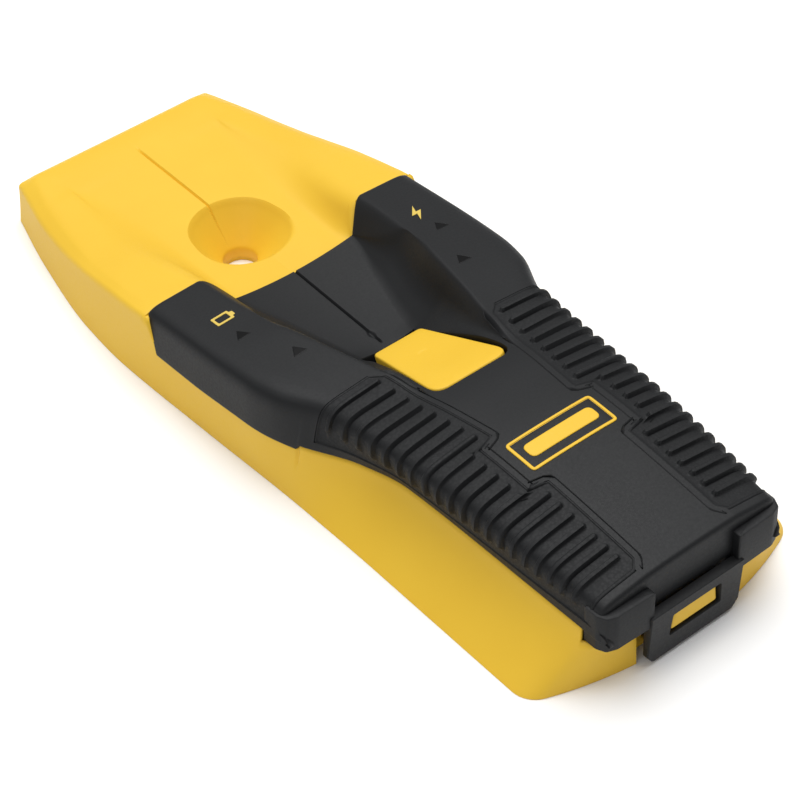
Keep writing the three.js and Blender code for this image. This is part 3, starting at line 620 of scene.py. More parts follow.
FINISHES: tuple[Finish, ...] = (
    # Satin yellow ABS from a polished mould, with a hint of orange in thin light.
    Finish(Slot.YELLOW, "satin_yellow_abs", "E6BC35", "E0B32E", 0.5, grain_mm=0.5, grain_depth=0.006,
           ior=1.38),
    # Spark-eroded black ABS: a fine even grain that greys the highlights.
    Finish(Slot.BLACK, "spark_textured_black_abs", "17181A", "141516", 0.5, grain_mm=0.45, grain_depth=0.014,
           ior=1.33),
    SparkedRubber(Slot.RUBBER, "moulded_black_rubber", "17181A", "131415", 0.6, grain_mm=0.5, ior=1.33,
                  grain_depth=0.02),
    Finish(Slot.LENS, "smoked_acrylic_lens", "050506", "070708", 0.3, gloss_spread=0.02, grain_depth=0.001,
           ior=1.25),
    Finish(Slot.INK, "pad_printed_yellow_ink", "D8BC55", "CFB04A", 0.6),
    BrushedMetal(Slot.STEEL, "zinc_plated_steel", "B9BBBE", "A9ACB0", 0.3, metallic=1.0, grain_mm=0.12,
                 grain_depth=0.004),
    Finish(Slot.CAN, "printed_steel_can", "2E3033", "27292C", 0.35, metallic=0.3, coat=0.4),
    Finish(Slot.LAMINATE, "solder_masked_laminate", "1B5A34", "164C2B", 0.38, grain_mm=0.8, coat=0.3),
    BrushedMetal(Slot.COPPER, "bare_copper_foil", "C98B60", "B97A50", 0.35, metallic=1.0, grain_mm=0.2),
    Finish(Slot.RESIN, "epoxy_moulding", "1A1B1D", "151618", 0.5, grain_mm=0.2),
    Finish(Slot.LAMP, "clear_epoxy_lamp", "EAF2F4", "DDE8EC", 0.1, gloss_spread=0.03, clear=0.85,
           grain_depth=0.001),
    Finish(Slot.RED_WIRE, "red_vinyl_insulation", "A8242A", "96191F", 0.4),
    Finish(Slot.BLACK_WIRE, "black_vinyl_insulation", "18181A", "121214", 0.4),
)


class Wardrobe:
    """Hands out the finished materials by slot."""

    def __init__(self) -> None:
        """Builds each finish once."""
        self.materials = {finish.slot: finish.build() for finish in FINISHES}

    def dress(self, piece: bpy.types.Object, slot: Slot) -> None:
        """Gives a piece the finish of a slot."""
        piece.data.materials.clear()
        piece.data.materials.append(self.materials[slot])

    def fit(self, piece: bpy.types.Object, slot: Slot, body: Body, *nodes: str) -> bpy.types.Object:
        """Dresses a new piece, rides it on its body and hides the CAD nodes it stands for.

        Args:
            piece: the new piece.
            slot: the material slot it takes its finish from.
            body: the CAD body it moves with.
            nodes: CAD nodes it replaces.

        Returns:
            The piece.
        """
        self.dress(piece, slot)
        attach(piece, body.value)
        if nodes:
            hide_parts(*nodes)
        LOG.info("%s: %d faces on %s", piece.name, len(piece.data.polygons), body.value)
        return piece


# ---------------------------------------------------------------- yellow housing


@dataclass
class Flank:
    """The hollowed side of the housing, between the edge of the sole and the rim."""

    sole_half: Stations = ((83.4, 23.4), (67.5, 27.7), (46.4, 31.6), (34.8, 32.28), (11, 31.4),
                           (-17, 30.1), (-38, 29.8), (-73, 29.8))
    rim_half: Stations = ((82.9, 22.6), (67.5, 26.6), (51, 29.2), (41, 30.2), (27, 30.9), (10, 30.9),
                          (-4, 30.1), (-13, 28.0), (-25.2, 22.4), (-35, 20.1), (-50, 19.6), (-76, 19.3))
    rim_z: Stations = ((82.9, 8.5), (67.5, 8.9), (58, 9.8), (51, 11.1), (41, 13.2), (32, 14.8), (27, 15.6),
                       (10, 15.6), (-4, 14.0), (-14, 11.9), (-35, 12.5), (-50, 12.8), (-76, 13.1))
    parting_z: Stations = ((28, 8.9), (22, 9.1), (10, 9.6), (-4, 10.2), (-13.8, 10.4), (-14.5, 11.4),
                           (-25, 11.6), (-36, 11.9), (-76, 12.2))
    hollow: float = 1.35

    def across(self, y: np.ndarray, share: np.ndarray) -> np.ndarray:
        """Half width at a share of the rim's height: rim plus the spread times (1 - share) ** hollow.

        Args:
            y: places along the tool.
            share: height as a share of the rim's.

        Returns:
            The half width at each place.
        """
        sole = profile(self.sole_half, y)
        rim = np.minimum(sole - 0.5, profile(self.rim_half, y))
        return rim + (sole - rim) * np.clip(1 - share, 0, 1) ** self.hollow


@dataclass
class Housing:
    """The yellow lower housing: nose, channelled deck, marking dish, flanks and tail."""

    flank: Flank = field(default_factory=Flank)
    nose_y: float = 83.4
    deck_end: float = 27.12
    notch_y: float = 23.36
    shoulder_x: Stations = ((82.9, 19.6), (67.5, 23.6), (51, 26.6), (41, 27.6), (27, 28.2))
    shoulder_z: Stations = ((82.9, 8.7), (80.2, 10.1), (67.5, 10.6), (51, 12.2), (41, 14.2), (27, 16.4))
    bank_x: Stations = ((82.9, 18.4), (72.5, 17.6), (69, 17.8), (64, 18.8), (51, 20.8), (41, 19.4),
                        (32, 17.8), (27, 17.6))
    bank_z: Stations = ((82.9, 8.75), (80.2, 10.3), (72.5, 10.55), (70, 10.95), (64, 11.3), (51, 12.5),
                        (41, 14.4), (32, 16.1), (27, 17.0))
    foot_x: Stations = ((82.9, 17.2), (72, 16.9), (64, 15.8), (58, 15.0), (47, 14.0), (23, 13.5))
    foot_z: Stations = ((82.9, 8.72), (80.2, 10.28), (76, 10.5), (72, 10.5), (69, 10.35), (58, 10.5),
                        (47, 10.8), (23, 11.2))
    deck_z: Stations = ((82.9, 8.7), (80.2, 10.2), (76, 10.5), (20, 10.5))
    nose_round: float = 1.1
    nose_height: float = 9.0
    nose_half: float = 23.4
    notch_fold: Stations = ((0.14, 0.05), (0.2, 0.25), (0.2, 3.0))
    mark_y: float = 41.2
    bore_r: float = 3.3
    dish_r: float = 9.3
    dish_spread: float = 1.7
    dish_turn: tuple[float, float] = (-0.2, 0.9)
    rim_roll: float = 0.12
    throat: float = 0.25
    neck_z: float = 3.3
    bore_steps: Stations = ((0.05, 3.0), (0.0, 2.6), (0.0, 1.3), (0.0, 0.0))
    block_half: float = 14.0
    block_front: float = 52.7
    block_rear: float = 28.9
    groove_half: float = 0.34
    groove_depth: float = 0.55
    groove_front: float = 75.0
    groove_fade: float = 3.0
    bow_r: float = 74.0
    bow_y: float = -81.4
    tail_half: float = 29.8
    tail_corner: float = 5.0
    side_end: float = -71.8
    rim_tail_half: float = 19.3
    rim_tail_y: float = -77.0
    rim_corner: float = 3.2
    tail_top: float = 9.8
    gate_half: float = 10.7
    gate_depth: float = 4.0
    gate_reach: float = 3.0
    gate_lip: float = 0.15
    face_foot: tuple[float, float] = (22.7, 9.6)
    face_lean: float = 0.58
    lip: float = 2.4
    rear_lip: Stations = ((28, 2.4), (-10, 2.4), (-38, 3.4), (-70, 3.4), (-76.5, 1.8), (-82, 1.5))
    seam_y: float = -14.0
    seam_half: float = 0.3
    seam_depth: float = 0.35
    seam_fade: tuple[float, float] = (6.2, 8.0)
    wall: float = 1.5

    # Lip, sole's edge, four points up the flank, rim, shoulder, top of the bank, its foot and the
    # centre line.
    BENDS = (Bend(0, 0, 0, 2), Bend(0.1, 0.06, 3, 2), Bend(0.5, 0.5, 4, 1), Bend(0.5, 0.5, 4, 1),
             Bend(0.5, 0.5, 4, 1), Bend(0.5, 0.4, 4, 1), Bend(0.35, 0.3, 6, 4), Bend(0.3, 0.3, 6, 6),
             Bend(0.3, 0.42, 9, 5), Bend(0.45, 0.12, 9, 1), Bend(0, 0, 0, 0))
    FLANK_SHARES = (0.2, 0.4, 0.6, 0.8)
    RIM, BANK, FOOT = 6, 8, 9
    FLAT_RINGS, CONE_RINGS = 8, 16
    # Columns across a channel of this half width, close together by the groove.
    CHANNEL_HALF = 13.2
    CHANNEL_X = (11.6, 10.7, 9.6, 8.5, 7.4, 6.3, 5.2, 4.1, 3.1, 2.2, 1.55, 1.12, 0.8, 0.55, 0.42, 0.36,
                 0.3, 0.2, 0.1, 0.0)

    def controls(self, y: np.ndarray) -> np.ndarray:
        """Control points of the half section at each y, from under the sole up to the centre line.

        Args:
            y: places of the sections.

        Returns:
            Points, sections by control points by 3.
        """
        top = profile(self.flank.rim_z, y)
        sole = self.flank.across(y, np.zeros_like(y))
        chain = [(sole, 0 * y), (sole, 0 * y)]
        chain += [(self.flank.across(y, np.full_like(y, s)), s * top) for s in self.FLANK_SHARES]
        chain.append((self.flank.across(y, np.ones_like(y)), top))
        bank_x, bank_z = profile(self.bank_x, y), profile(self.bank_z, y)
        foot_x, foot_z = profile(self.foot_x, y), profile(self.foot_z, y)
        share = np.clip((y - self.notch_y) / (self.deck_end - self.notch_y), 0, 1)
        bank_x = foot_x + (bank_x - foot_x) * np.where(y < self.deck_end, share, 1)
        bank_z = foot_z + (bank_z - foot_z) * np.where(y < self.deck_end, share, 1)
        chain += [(profile(self.shoulder_x, y), profile(self.shoulder_z, y)), (bank_x, bank_z),
                  (foot_x, foot_z), (0 * y, profile(self.deck_z, y))]
        points = np.stack([np.stack([x, y, z], -1) for x, z in chain], -2)
        points[:, 0, 0] -= self.lip
        points[:, 0, 1] = np.minimum(y, self.nose_y - self.lip)
        return points

    def half_weights(self) -> np.ndarray:
        """Section weights, with the last run cut finely near the centre groove.

        Returns:
            A row for each section point and a column for each control point.
        """
        weights = section_weights(self.BENDS)[:-2]
        share = np.array(self.CHANNEL_X)[:, None] / self.CHANNEL_HALF
        unit = np.eye(len(self.BENDS))
        return np.concatenate([weights, share * unit[self.FOOT] + (1 - share) * unit[-1]])

    def nose_inset(self, y: np.ndarray) -> np.ndarray:
        """How far the skin turns in near the nose: a quarter circle of radius nose_round."""
        left = np.clip(self.nose_round - (self.nose_y - y), 0, self.nose_round)
        return self.nose_round - np.sqrt(np.maximum(self.nose_round**2 - left**2, 0))

    def groove(self, x: np.ndarray, y: np.ndarray) -> np.ndarray:
        """Depth of the sighting groove: a raised cosine across x, run out smoothly at its front end.

        Args:
            x: places across.
            y: places along.

        Returns:
            The depth at each place.
        """
        across = np.clip(np.abs(x) / self.groove_half, 0, 1)
        along = ramp(y, self.mark_y, self.mark_y + 1)
        along = along * (1 - ramp(y, self.groove_front - self.groove_fade, self.groove_front))
        return self.groove_depth * 0.5 * (1 + np.cos(math.pi * across)) * along

    def floor(self, x: np.ndarray, y: np.ndarray) -> np.ndarray:
        """Height of the channel floor: straight from the centre line to the foot of the banks.

        Args:
            x: places across.
            y: places along.

        Returns:
            The height at each place.
        """
        centre = profile(self.deck_z, y)
        share = np.abs(x) / profile(self.foot_x, y)
        return centre + (profile(self.foot_z, y) - centre) * share - self.groove(x, y)

    def deck(self, skin: Skin) -> None:
        """Adds the deck with both flanks in front of the cover, the notch and the nose face.

        Args:
            skin: the housing's skin.
        """
        weights = self.half_weights()
        rows = rows_between((self.nose_y, 0.12), (82.2, 0.4), (79, 0.7), (68, 0.9), (self.block_front, 0.9),
                            (self.block_rear, 0.65), (self.deck_end, 0))
        section = np.einsum("ck,vkd->vcd", weights, self.controls(rows))
        inset = self.nose_inset(rows)[:, None]
        section[..., 2] -= self.groove(section[..., 0], section[..., 1])
        section[..., 2] *= 1 - inset / self.nose_height
        section[..., 0] *= 1 - inset / self.nose_half
        full = np.concatenate([section, section[:, -2::-1] * (-1, 1, 1)], axis=1)
        self.dish(skin, full, rows)
        self.nose(skin, full[0])
        notch_rows = rows_between((self.deck_end, 0.45), (self.notch_y, 0))
        first = self.columns_before(self.BANK)
        notch = np.einsum("ck,vkd->vcd", weights[first:], self.controls(notch_rows))
        notch[..., 2] -= self.groove(notch[..., 0], notch[..., 1])
        notch_full = np.concatenate([notch, notch[:, -2::-1] * (-1, 1, 1)], axis=1)
        skin.grid(notch_full)
        rim = self.columns_before(self.RIM)
        side = full[-1, rim : first + 1]
        chamfer = notch_full[:, 0]
        edge = np.concatenate([side, chamfer, notch_full[-1], (chamfer * (-1, 1, 1))[::-1],
                               (side * (-1, 1, 1))[::-1]])
        skin.ring([edge, *(edge - (0, back, down) for back, down in self.notch_fold)], closed=False)

    def nose(self, skin: Skin, section: np.ndarray) -> None:
        """Adds the nose's blunt face: its top edge, then level lines down to the lip under the sole.

        Args:
            skin: the housing's skin.
            section: the foremost section, from one lip over the top to the other.
        """
        rim = self.columns_before(self.RIM)
        top = section[rim : len(section) - rim]
        share = top[:, 0] / top[0, 0]
        lines = [np.stack([share * x, np.full_like(share, y), np.full_like(share, z)], -1)
                 for x, y, z in section[:rim][::-1]]
        skin.ring([top, *lines], closed=False)

    def columns_before(self, control: int) -> int:
        """Number of section points before the middle of a control point's rounding."""
        total = sum(bend.run + 1 + max(bend.arc - 1, 0) for bend in self.BENDS[:control])
        return total + max(self.BENDS[control].arc - 1, 0) // 2

    def dish(self, skin: Skin, full: np.ndarray, rows: np.ndarray) -> None:
        """Adds the deck's grid with a block left out, and fills the block with rings round the hole.

        The rings pass straight from the block's edge to the rim of the dish, roll over the rim,
        follow the cone to its neck and then the bore down to the sole.

        Args:
            skin: the housing's skin.
            full: the deck's points, rows by columns by 3.
            rows: place of each row along the tool.
        """
        centre_column = full.shape[1] // 2
        columns = np.abs(full[:, :, 0]).max(axis=0) < self.block_half
        first = int(np.argmax(columns))
        last = 2 * centre_column - first
        top = int(np.argmin(np.abs(rows - self.block_front)))
        bottom = int(np.argmin(np.abs(rows - self.block_rear)))
        keep = np.ones((full.shape[0] - 1, full.shape[1] - 1), bool)
        keep[top:bottom, first:last] = False
        skin.grid(full, keep)
        loop = np.concatenate([full[top, first:last], full[top:bottom, last],
                               full[bottom, last:first:-1], full[bottom:top:-1, first]])
        offset = loop[:, :2] - (0, self.mark_y)
        unit = offset / np.linalg.norm(offset, axis=1, keepdims=True)
        radii = self.dish_r + self.dish_spread * ramp(-unit[:, 1:], *self.dish_turn)
        rim = unit * radii
        loops = [loop]
        for share in np.linspace(0, 1, self.FLAT_RINGS)[1:]:
            flat = offset + (rim - offset) * share
            y = flat[:, 1] + self.mark_y
            loops.append(np.stack([flat[:, 0], y, self.floor(flat[:, 0], y)], 1))
        edge_z = loops[-1][:, 2]
        for k, share in enumerate(np.linspace(0, 1, self.CONE_RINGS)[1:]):
            radius = radii + (self.bore_r + self.throat - radii) * share
            height = edge_z + (self.neck_z - edge_z) * share
            if k == 0:
                height = height + self.rim_roll
            loops.append(np.column_stack([unit * radius + (0, self.mark_y), height]))
        for wider, height in self.bore_steps:
            around = unit * (self.bore_r + wider) + (0, self.mark_y)
            loops.append(np.column_stack([around, np.full(len(unit), height)]))
        skin.ring(loops)

    def plan_path(self) -> tuple[np.ndarray, np.ndarray, np.ndarray]:
        """Plan curves of the sole's edge and of the rim behind the deck, and the wall's top height.

        Both run back along the side. The sole's edge then turns a corner and follows the tail's
        bow, while the rim turns a smaller corner, and both end at the latch opening.

        Returns:
            The sole's edge, the rim and the height of the wall's top, point for point.
        """
        flank, corner_r, rim_y = self.flank, self.tail_corner, self.rim_tail_y
        side = rows_between((self.deck_end, 0.5), (21, 1.6), (-10, 1.1), (-13, 0.16), (-15, 1.1),
                            (self.side_end, 0))
        sole = [np.stack([profile(flank.sole_half, side), side], 1)]
        rim = [np.stack([np.minimum(sole[0][:, 0] - 0.5, profile(flank.rim_half, side)), side], 1)]
        centre_y, corner_x = self.bow_y + self.bow_r, self.tail_half - corner_r
        turn_y = centre_y - math.sqrt((self.bow_r - corner_r) ** 2 - corner_x**2)
        end = math.atan2(turn_y - centre_y, corner_x)
        angle = np.linspace(0, end, 15)[1:]
        sole.append(np.stack([corner_x + corner_r * np.cos(angle), turn_y + corner_r * np.sin(angle)], 1))
        rim.append(np.linspace(rim[0][-1], (self.rim_tail_half, rim_y), 15)[1:])
        bow_x = np.linspace(self.bow_r * math.cos(end), self.gate_half, 19)[1:]
        sole.append(np.stack([bow_x, centre_y - np.sqrt(self.bow_r**2 - bow_x**2)], 1))
        turn = np.linspace(0, -math.pi / 2, 9)[1:]
        small, turn_x = self.rim_corner, self.rim_tail_half - self.rim_corner
        rim.append(np.stack([turn_x + small * np.cos(turn), rim_y + small * np.sin(turn)], 1))
        back = np.linspace(turn_x, self.gate_half, 11)[1:]
        rim.append(np.stack([back, np.full(10, rim_y - small)], 1))
        inward = np.linspace(0, self.gate_depth, 4)[1:]
        sole.append(np.stack([np.full(3, self.gate_half), sole[-1][-1, 1] + inward], 1))
        rim.append(np.stack([np.full(3, self.gate_half), rim_y - small + inward], 1))
        sole_path, rim_path = np.concatenate(sole), np.concatenate(rim)
        y = rim_path[:, 1]
        slant = self.face_foot[1] + (y - self.face_foot[0]) / self.face_lean
        top = np.clip(slant, profile(flank.parting_z, y) + 1.0, profile(flank.rim_z, y))
        top[y < rim_y - 0.45] = self.tail_top
        return sole_path, rim_path, top

    def rear(self, skin: Skin) -> None:
        """Adds the wall behind the deck, one side then the other, from the sole's edge to its top.

        Args:
            skin: the housing's skin.
        """
        sole, rim, top = self.plan_path()
        tangent = np.gradient(sole, axis=0)
        tangent /= np.maximum(np.linalg.norm(tangent, axis=1, keepdims=True), 1e-9)
        inward = np.stack([tangent[:, 1], -tangent[:, 0]], 1)
        away = np.hypot(sole[:, 0] - self.gate_half, sole[:, 1] - sole[-1, 1])
        narrowed = profile(self.rear_lip, sole[:, 1]) * np.clip(away / self.gate_reach, self.gate_lip, 1)
        lip = narrowed[:, None]
        chain = [np.column_stack([sole + lip * inward, 0 * top]), np.column_stack([sole, 0 * top])]
        rim_height = profile(self.flank.rim_z, rim[:, 1])
        for share in (*self.FLANK_SHARES, 1.0):
            real = np.clip(share * top / rim_height, 0, 1)
            spread = ((1 - real) ** self.flank.hollow)[:, None]
            chain.append(np.column_stack([rim + (sole - rim) * spread, share * top]))
        bends = (*self.BENDS[:6], Bend(0, 0, 0, 0))
        weights = section_weights(bends)
        wall = np.einsum("ck,vkd->vcd", weights, np.stack(chain, -2))
        near = np.exp(-(((wall[..., 1] - self.seam_y) / self.seam_half) ** 2))
        wall[..., 0] -= self.seam_depth * near * ramp(wall[..., 2], *self.seam_fade)
        skin.grid(wall)
        skin.grid(wall * (-1, 1, 1))

    def build(self, wardrobe: Wardrobe) -> None:
        """Makes the housing.

        Args:
            wardrobe: the finishes, by slot.
        """
        skin = Skin()
        self.deck(skin)
        self.rear(skin)
        shell = skin.make("yellow_housing")
        thicken(shell, self.wall, grounded=True)
        wardrobe.fit(shell, Slot.YELLOW, Body.ROOT, "main_housing")


# ---------------------------------------------------------------- black top cover


@dataclass
class Cover:
    """The black top cover: two arms, the scooped valley for the button, and the waisted grip."""

    flank: Flank = field(default_factory=Flank)
    front_y: float = 26.85
    notch_y: float = 23.1
    blend_y: float = 20.0
    tail_y: float = -81.2
    face_lean: float = 0.58
    proud: float = 0.4
    gap: float = 0.3
    mid_z: Stations = ((30, 11.6), (23, 11.5), (-4.2, 11.0), (-7, 13.4), (-28.8, 21.9), (-36, 22.9),
                       (-47, 23.5), (-56, 23.2), (-70, 22.0), (-81.2, 20.6))
    foot_x: Stations = ((30, 13.7), (23, 13.5), (11, 9.9), (-1.5, 6.4), (-4.1, 6.0), (-7, 6.05),
                        (-12, 6.7), (-25.5, 8.5), (-27, 8.35), (-28, 7.7), (-28.45, 6.9), (-28.6, 6.2),
                        (-30, 6.0), (-81.2, 5.8))
    foot_z: Stations = ((30, 12.7), (23, 12.6), (-1, 11.4), (-4.2, 11.7), (-8, 13.7), (-22, 20.2),
                        (-30, 22.0), (-81.2, 20.4))
    crest_x: Stations = ((30, 17.7), (11, 17.3), (2, 15.4), (-10, 12.9), (-17, 11.3), (-23, 10.3),
                         (-30, 9.6), (-81.2, 7.0))
    crest_z: Stations = ((30, 16.9), (27, 17.3), (11, 19.1), (2, 20.4), (-10, 21.2), (-23, 21.9),
                         (-36, 22.7), (-81.2, 20.3))
    shoulder_x: Stations = ((30, 28.0), (0, 27.6), (-8, 26.4), (-18, 22.6), (-35, 21.2), (-62, 19.2),
                            (-81.2, 17.4))
    shoulder_z: Stations = ((30, 16.6), (27, 16.9), (0, 19.6), (-8, 20.3), (-18, 20.7), (-35, 21.2),
                            (-50, 21.6), (-70, 20.4), (-81.2, 19.3))
    edge_x: Stations = ((30, 30.0), (11, 30.0), (-2, 29.7), (-8, 28.8), (-17.5, 24.7), (-35, 22.9),
                        (-62, 20.8), (-81.2, 19.0))
    edge_z: Stations = ((30, 15.8), (27, 16.1), (11, 17.7), (-2, 18.6), (-18, 19.2), (-50, 19.7),
                        (-81.2, 18.3))
    seam_x: Stations = ((27, 22.0), (2, 19.0), (-8, 15.8), (-16.9, 14.2), (-19, 11.9), (-22.6, 11.3),
                        (-43.5, 9.0), (-44.5, 12.3), (-56.1, 12.3), (-56.9, 8.7), (-77.2, 8.7),
                        (-78.9, 10.1), (-81.2, 10.1))
    belly: Stations = ((23, 0.0), (11, 0.5), (-5, 1.0), (-20, 0.2), (-30, 0.0))
    pad_low: Stations = ((0, 13.4), (-90, 14.8))
    crease_end: float = 11.6
    crown: float = 2.8
    grip_turn: tuple[float, float] = (20.0, 30.0)
    arm_softening: float = 0.4
    skirt_lip: float = 1.2
    recess_front: float = -16.9
    recess_rear: float = -78.9
    recess_depth: float = 0.95
    hole_front: float = -4.1
    hole_rear: float = -28.6
    groove_half: float = 0.34
    groove_depth: float = 0.5
    tail_round: float = 0.9
    tail_half: float = 19.0
    tail_foot: float = 11.5
    button_way: tuple[float, float, float] = (0.0, -0.332, -0.943)
    hole_fold: Stations = ((0.06, 0.08), (0.1, 0.25), (0.1, 5.0))
    face_foot: tuple[float, float] = (22.7, 9.0)
    face_place: float = 25.0
    front_bevel: float = 0.12
    seam_bevel: float = 0.14
    pocket_half: float = 7.4
    pocket_front: float = -1.6
    pocket_rear: float = -6.9
    pocket_z: float = 9.6
    pocket_thickness: float = 1.2
    wall: float = 1.5

    # Lip, skirt, two points at the pad's lower border, edge, shoulder, two points at the seam,
    # the panel's bevel, crest, crease, belly and foot.
    BENDS = (Bend(0, 0, 0, 1), Bend(0.3, 0.15, 4, 3), Bend(0, 0, 0, 1), Bend(0, 0, 0, 2),
             Bend(0.45, 0.45, 7, 1), Bend(0.4, 0.3, 7, 6), Bend(0, 0, 0, 1), Bend(0, 0, 0, 1),
             Bend(0, 0, 0, 2), Bend(0.3, 0.45, 6, 2), Bend(0.45, 0.3, 6, 3), Bend(0.4, 0.4, 6, 2),
             Bend(0, 0, 0, 0))
    SKIRT, LOW, EDGE, SHOULDER, SEAM, CREASE = 1, 2, 4, 5, 6, 10
    FLOOR_SHARES = np.linspace(1, 0, 12)[1:-1]
    FLOOR_NEAR = (1.0, 0.8, 0.62, 0.5, 0.42, 0.34, 0.24, 0.12, 0.0)

    def crowned(self, x: np.ndarray, y: np.ndarray) -> np.ndarray:
        """Height of the grip's top: the middle less a power of the share of the shoulder's half width.

        Args:
            x: places across.
            y: places along.

        Returns:
            The height at each place.
        """
        middle, shoulder = profile(self.mid_z, y), profile(self.shoulder_z, y)
        share = np.clip(np.abs(x) / profile(self.shoulder_x, y), 0, 1)
        return middle - (middle - shoulder) * share**self.crown

    def controls(self, y: np.ndarray) -> np.ndarray:
        """Control points of the half section at each y, from under the skirt up to the valley's foot.

        Args:
            y: array of rows by columns of places along the tool.

        Returns:
            Points, rows by columns by control points by 3.
        """
        skirt_z = profile(self.flank.parting_z, y) + self.gap
        skirt_x = self.flank.across(y, skirt_z / profile(self.flank.rim_z, y)) + self.proud
        edge_x, edge_z = profile(self.edge_x, y), profile(self.edge_z, y)
        low = (straight(self.pad_low, y) - self.gap - skirt_z) / (edge_z - skirt_z)
        low = np.clip(low, 0.1, 0.9)
        chain = [(skirt_x - self.skirt_lip, skirt_z), (skirt_x, skirt_z)]
        for share in (low, low + 0.01):
            chain.append((skirt_x + (edge_x - skirt_x) * share, skirt_z + (edge_z - skirt_z) * share))
        shoulder_x, shoulder_z = profile(self.shoulder_x, y), profile(self.shoulder_z, y)
        chain += [(edge_x, edge_z), (shoulder_x, shoulder_z)]
        grip = ramp(-y, *self.grip_turn)
        soft = self.arm_softening * ramp(-y, -self.crease_end, -4) * (1 - grip)
        seam = straight(self.seam_x, y)
        crest_x = np.minimum(profile(self.crest_x, y), seam - 0.7) + soft
        crest_z = profile(self.crest_z, y)
        foot_x, foot_z = profile(self.foot_x, y), profile(self.foot_z, y)
        for x in (seam, seam - 0.03, seam - 0.3):
            share = (x - crest_x) / (shoulder_x - crest_x)
            level = crest_z + (shoulder_z - crest_z) * share
            chain.append((x, level + (self.crowned(x, y) - level) * grip))
        chain.append((crest_x, crest_z + (self.crowned(crest_x, y) - crest_z) * grip))
        rise = np.clip((self.notch_y - y) / (self.notch_y - self.crease_end), 0, 1)
        crease_x = foot_x + (crest_x - foot_x) * rise - 2.2 * soft
        crease_z = foot_z + (crest_z - foot_z) * rise - 2.6 * soft
        belly = profile(self.belly, y)
        belly_x = (crease_x * 0.55 + foot_x * 0.45) + belly
        belly_z = (crease_z * 0.45 + foot_z * 0.55) - belly * 0.6
        for x, z in ((crease_x, crease_z), (belly_x, belly_z), (foot_x, foot_z)):
            chain.append((x, z + (self.crowned(x, y) - z) * grip))
        return np.stack([np.stack([x, y, z], -1) for x, z in chain], -2)

    def column(self, control: int) -> int:
        """Number of the section column at a control point."""
        total = sum(bend.run + 1 + max(bend.arc - 1, 0) for bend in self.BENDS[:control])
        return total + max(self.BENDS[control].arc - 1, 0) // 2

    def surface(self, y: np.ndarray) -> np.ndarray:
        """Half of the cover's outer surface.

        Args:
            y: array of rows by columns, one column for each section point.

        Returns:
            Points, rows by columns by 3, from under the skirt to the centre line.
        """
        weights = section_weights(self.BENDS)
        count = len(weights)
        wall = np.einsum("ck,rckd->rcd", weights, self.controls(y[:, :count]))
        low = y[:, count:]
        foot_x = profile(self.foot_x, low)
        steps = len(self.FLOOR_SHARES)
        x = np.concatenate([1.0 + (foot_x[:, :steps] - 1.0) * self.FLOOR_SHARES,
                            np.broadcast_to(self.FLOOR_NEAR, (len(y), len(self.FLOOR_NEAR)))], axis=1)
        middle, edge = profile(self.mid_z, low), profile(self.foot_z, low)
        level = middle + (edge - middle) * (x / foot_x) ** 2
        level += (self.crowned(x, low) - level) * ramp(-low, *self.grip_turn)
        half = self.groove_half + 0.5 * np.exp(-((low - 0.4) ** 2) / 0.6)
        across = np.clip(x / half, 0, 1)
        level -= self.groove_depth * 0.5 * (1 + np.cos(math.pi * across)) * ramp(low, -2.6, -2.0)
        return np.concatenate([wall, np.stack([x, low, level], -1)], axis=1)

    def columns(self) -> int:
        """Number of columns in half a section."""
        return len(section_weights(self.BENDS)) + len(self.FLOOR_SHARES) + len(self.FLOOR_NEAR)

    def rows(self) -> np.ndarray:
        """Places of the sections behind the arms' front faces.

        Returns:
            The places, in order from the nose to the tail.
        """
        return rows_between(
            (self.blend_y, 0.8), (1.6, 0.3), (self.hole_front, 0.6), (-13.4, 0.2), (-14.8, 0.4),
            (-16.6, 0.25), (-16.85, 0.05), (self.recess_front, 0.35), (-19.2, 0.5), (-27, 0.16),
            (self.hole_rear, 0.3), (-29.6, 0.6), (-43, 0.2), (-45, 0.6), (-55.8, 0.2), (-57.2, 0.6),
            (-76.8, 0.3), (-78.85, 0.05), (self.recess_rear, 0.4), (-80.3, 0.13), (self.tail_y, 0))

    def starts(self) -> np.ndarray:
        """Place where each column starts: the slanted side faces, the arms' ends and the notch.

        Returns:
            Each column's first place along the tool.
        """
        weights = section_weights(self.BENDS)
        count = self.columns()
        level = self.surface(np.full((1, count), self.face_place))[0, :, 2]
        control = np.full(len(self.BENDS), self.front_y)
        control[self.CREASE:] = self.notch_y
        start = np.concatenate([weights @ control, np.full(count - len(weights), self.notch_y)])
        shoulder = self.column(self.SHOULDER)
        slant = self.face_foot[0] + self.face_lean * (level - self.face_foot[1])
        start[:shoulder] = np.minimum(slant, self.front_y)[:shoulder]
        return start

    def sunk(self, y: np.ndarray) -> np.ndarray:
        """Depth of the surface under its clean form: the recess for the pads and the bevels.

        Args:
            y: places of the grid, rows by columns.

        Returns:
            The depth at each place.
        """
        depth = np.zeros_like(y)
        inside = straight(((self.recess_front, 1), (self.recess_front + 0.05, 0)), y)
        inside = inside * straight(((self.recess_rear, 1), (self.recess_rear - 0.05, 0)), y)
        first, last = self.column(self.LOW + 1), self.column(self.SEAM)
        depth[:, first : last + 1] = self.recess_depth * inside[:, first : last + 1]
        depth[:, last + 1] = self.seam_bevel * inside[:, last + 1]
        depth[0] += self.front_bevel
        return depth

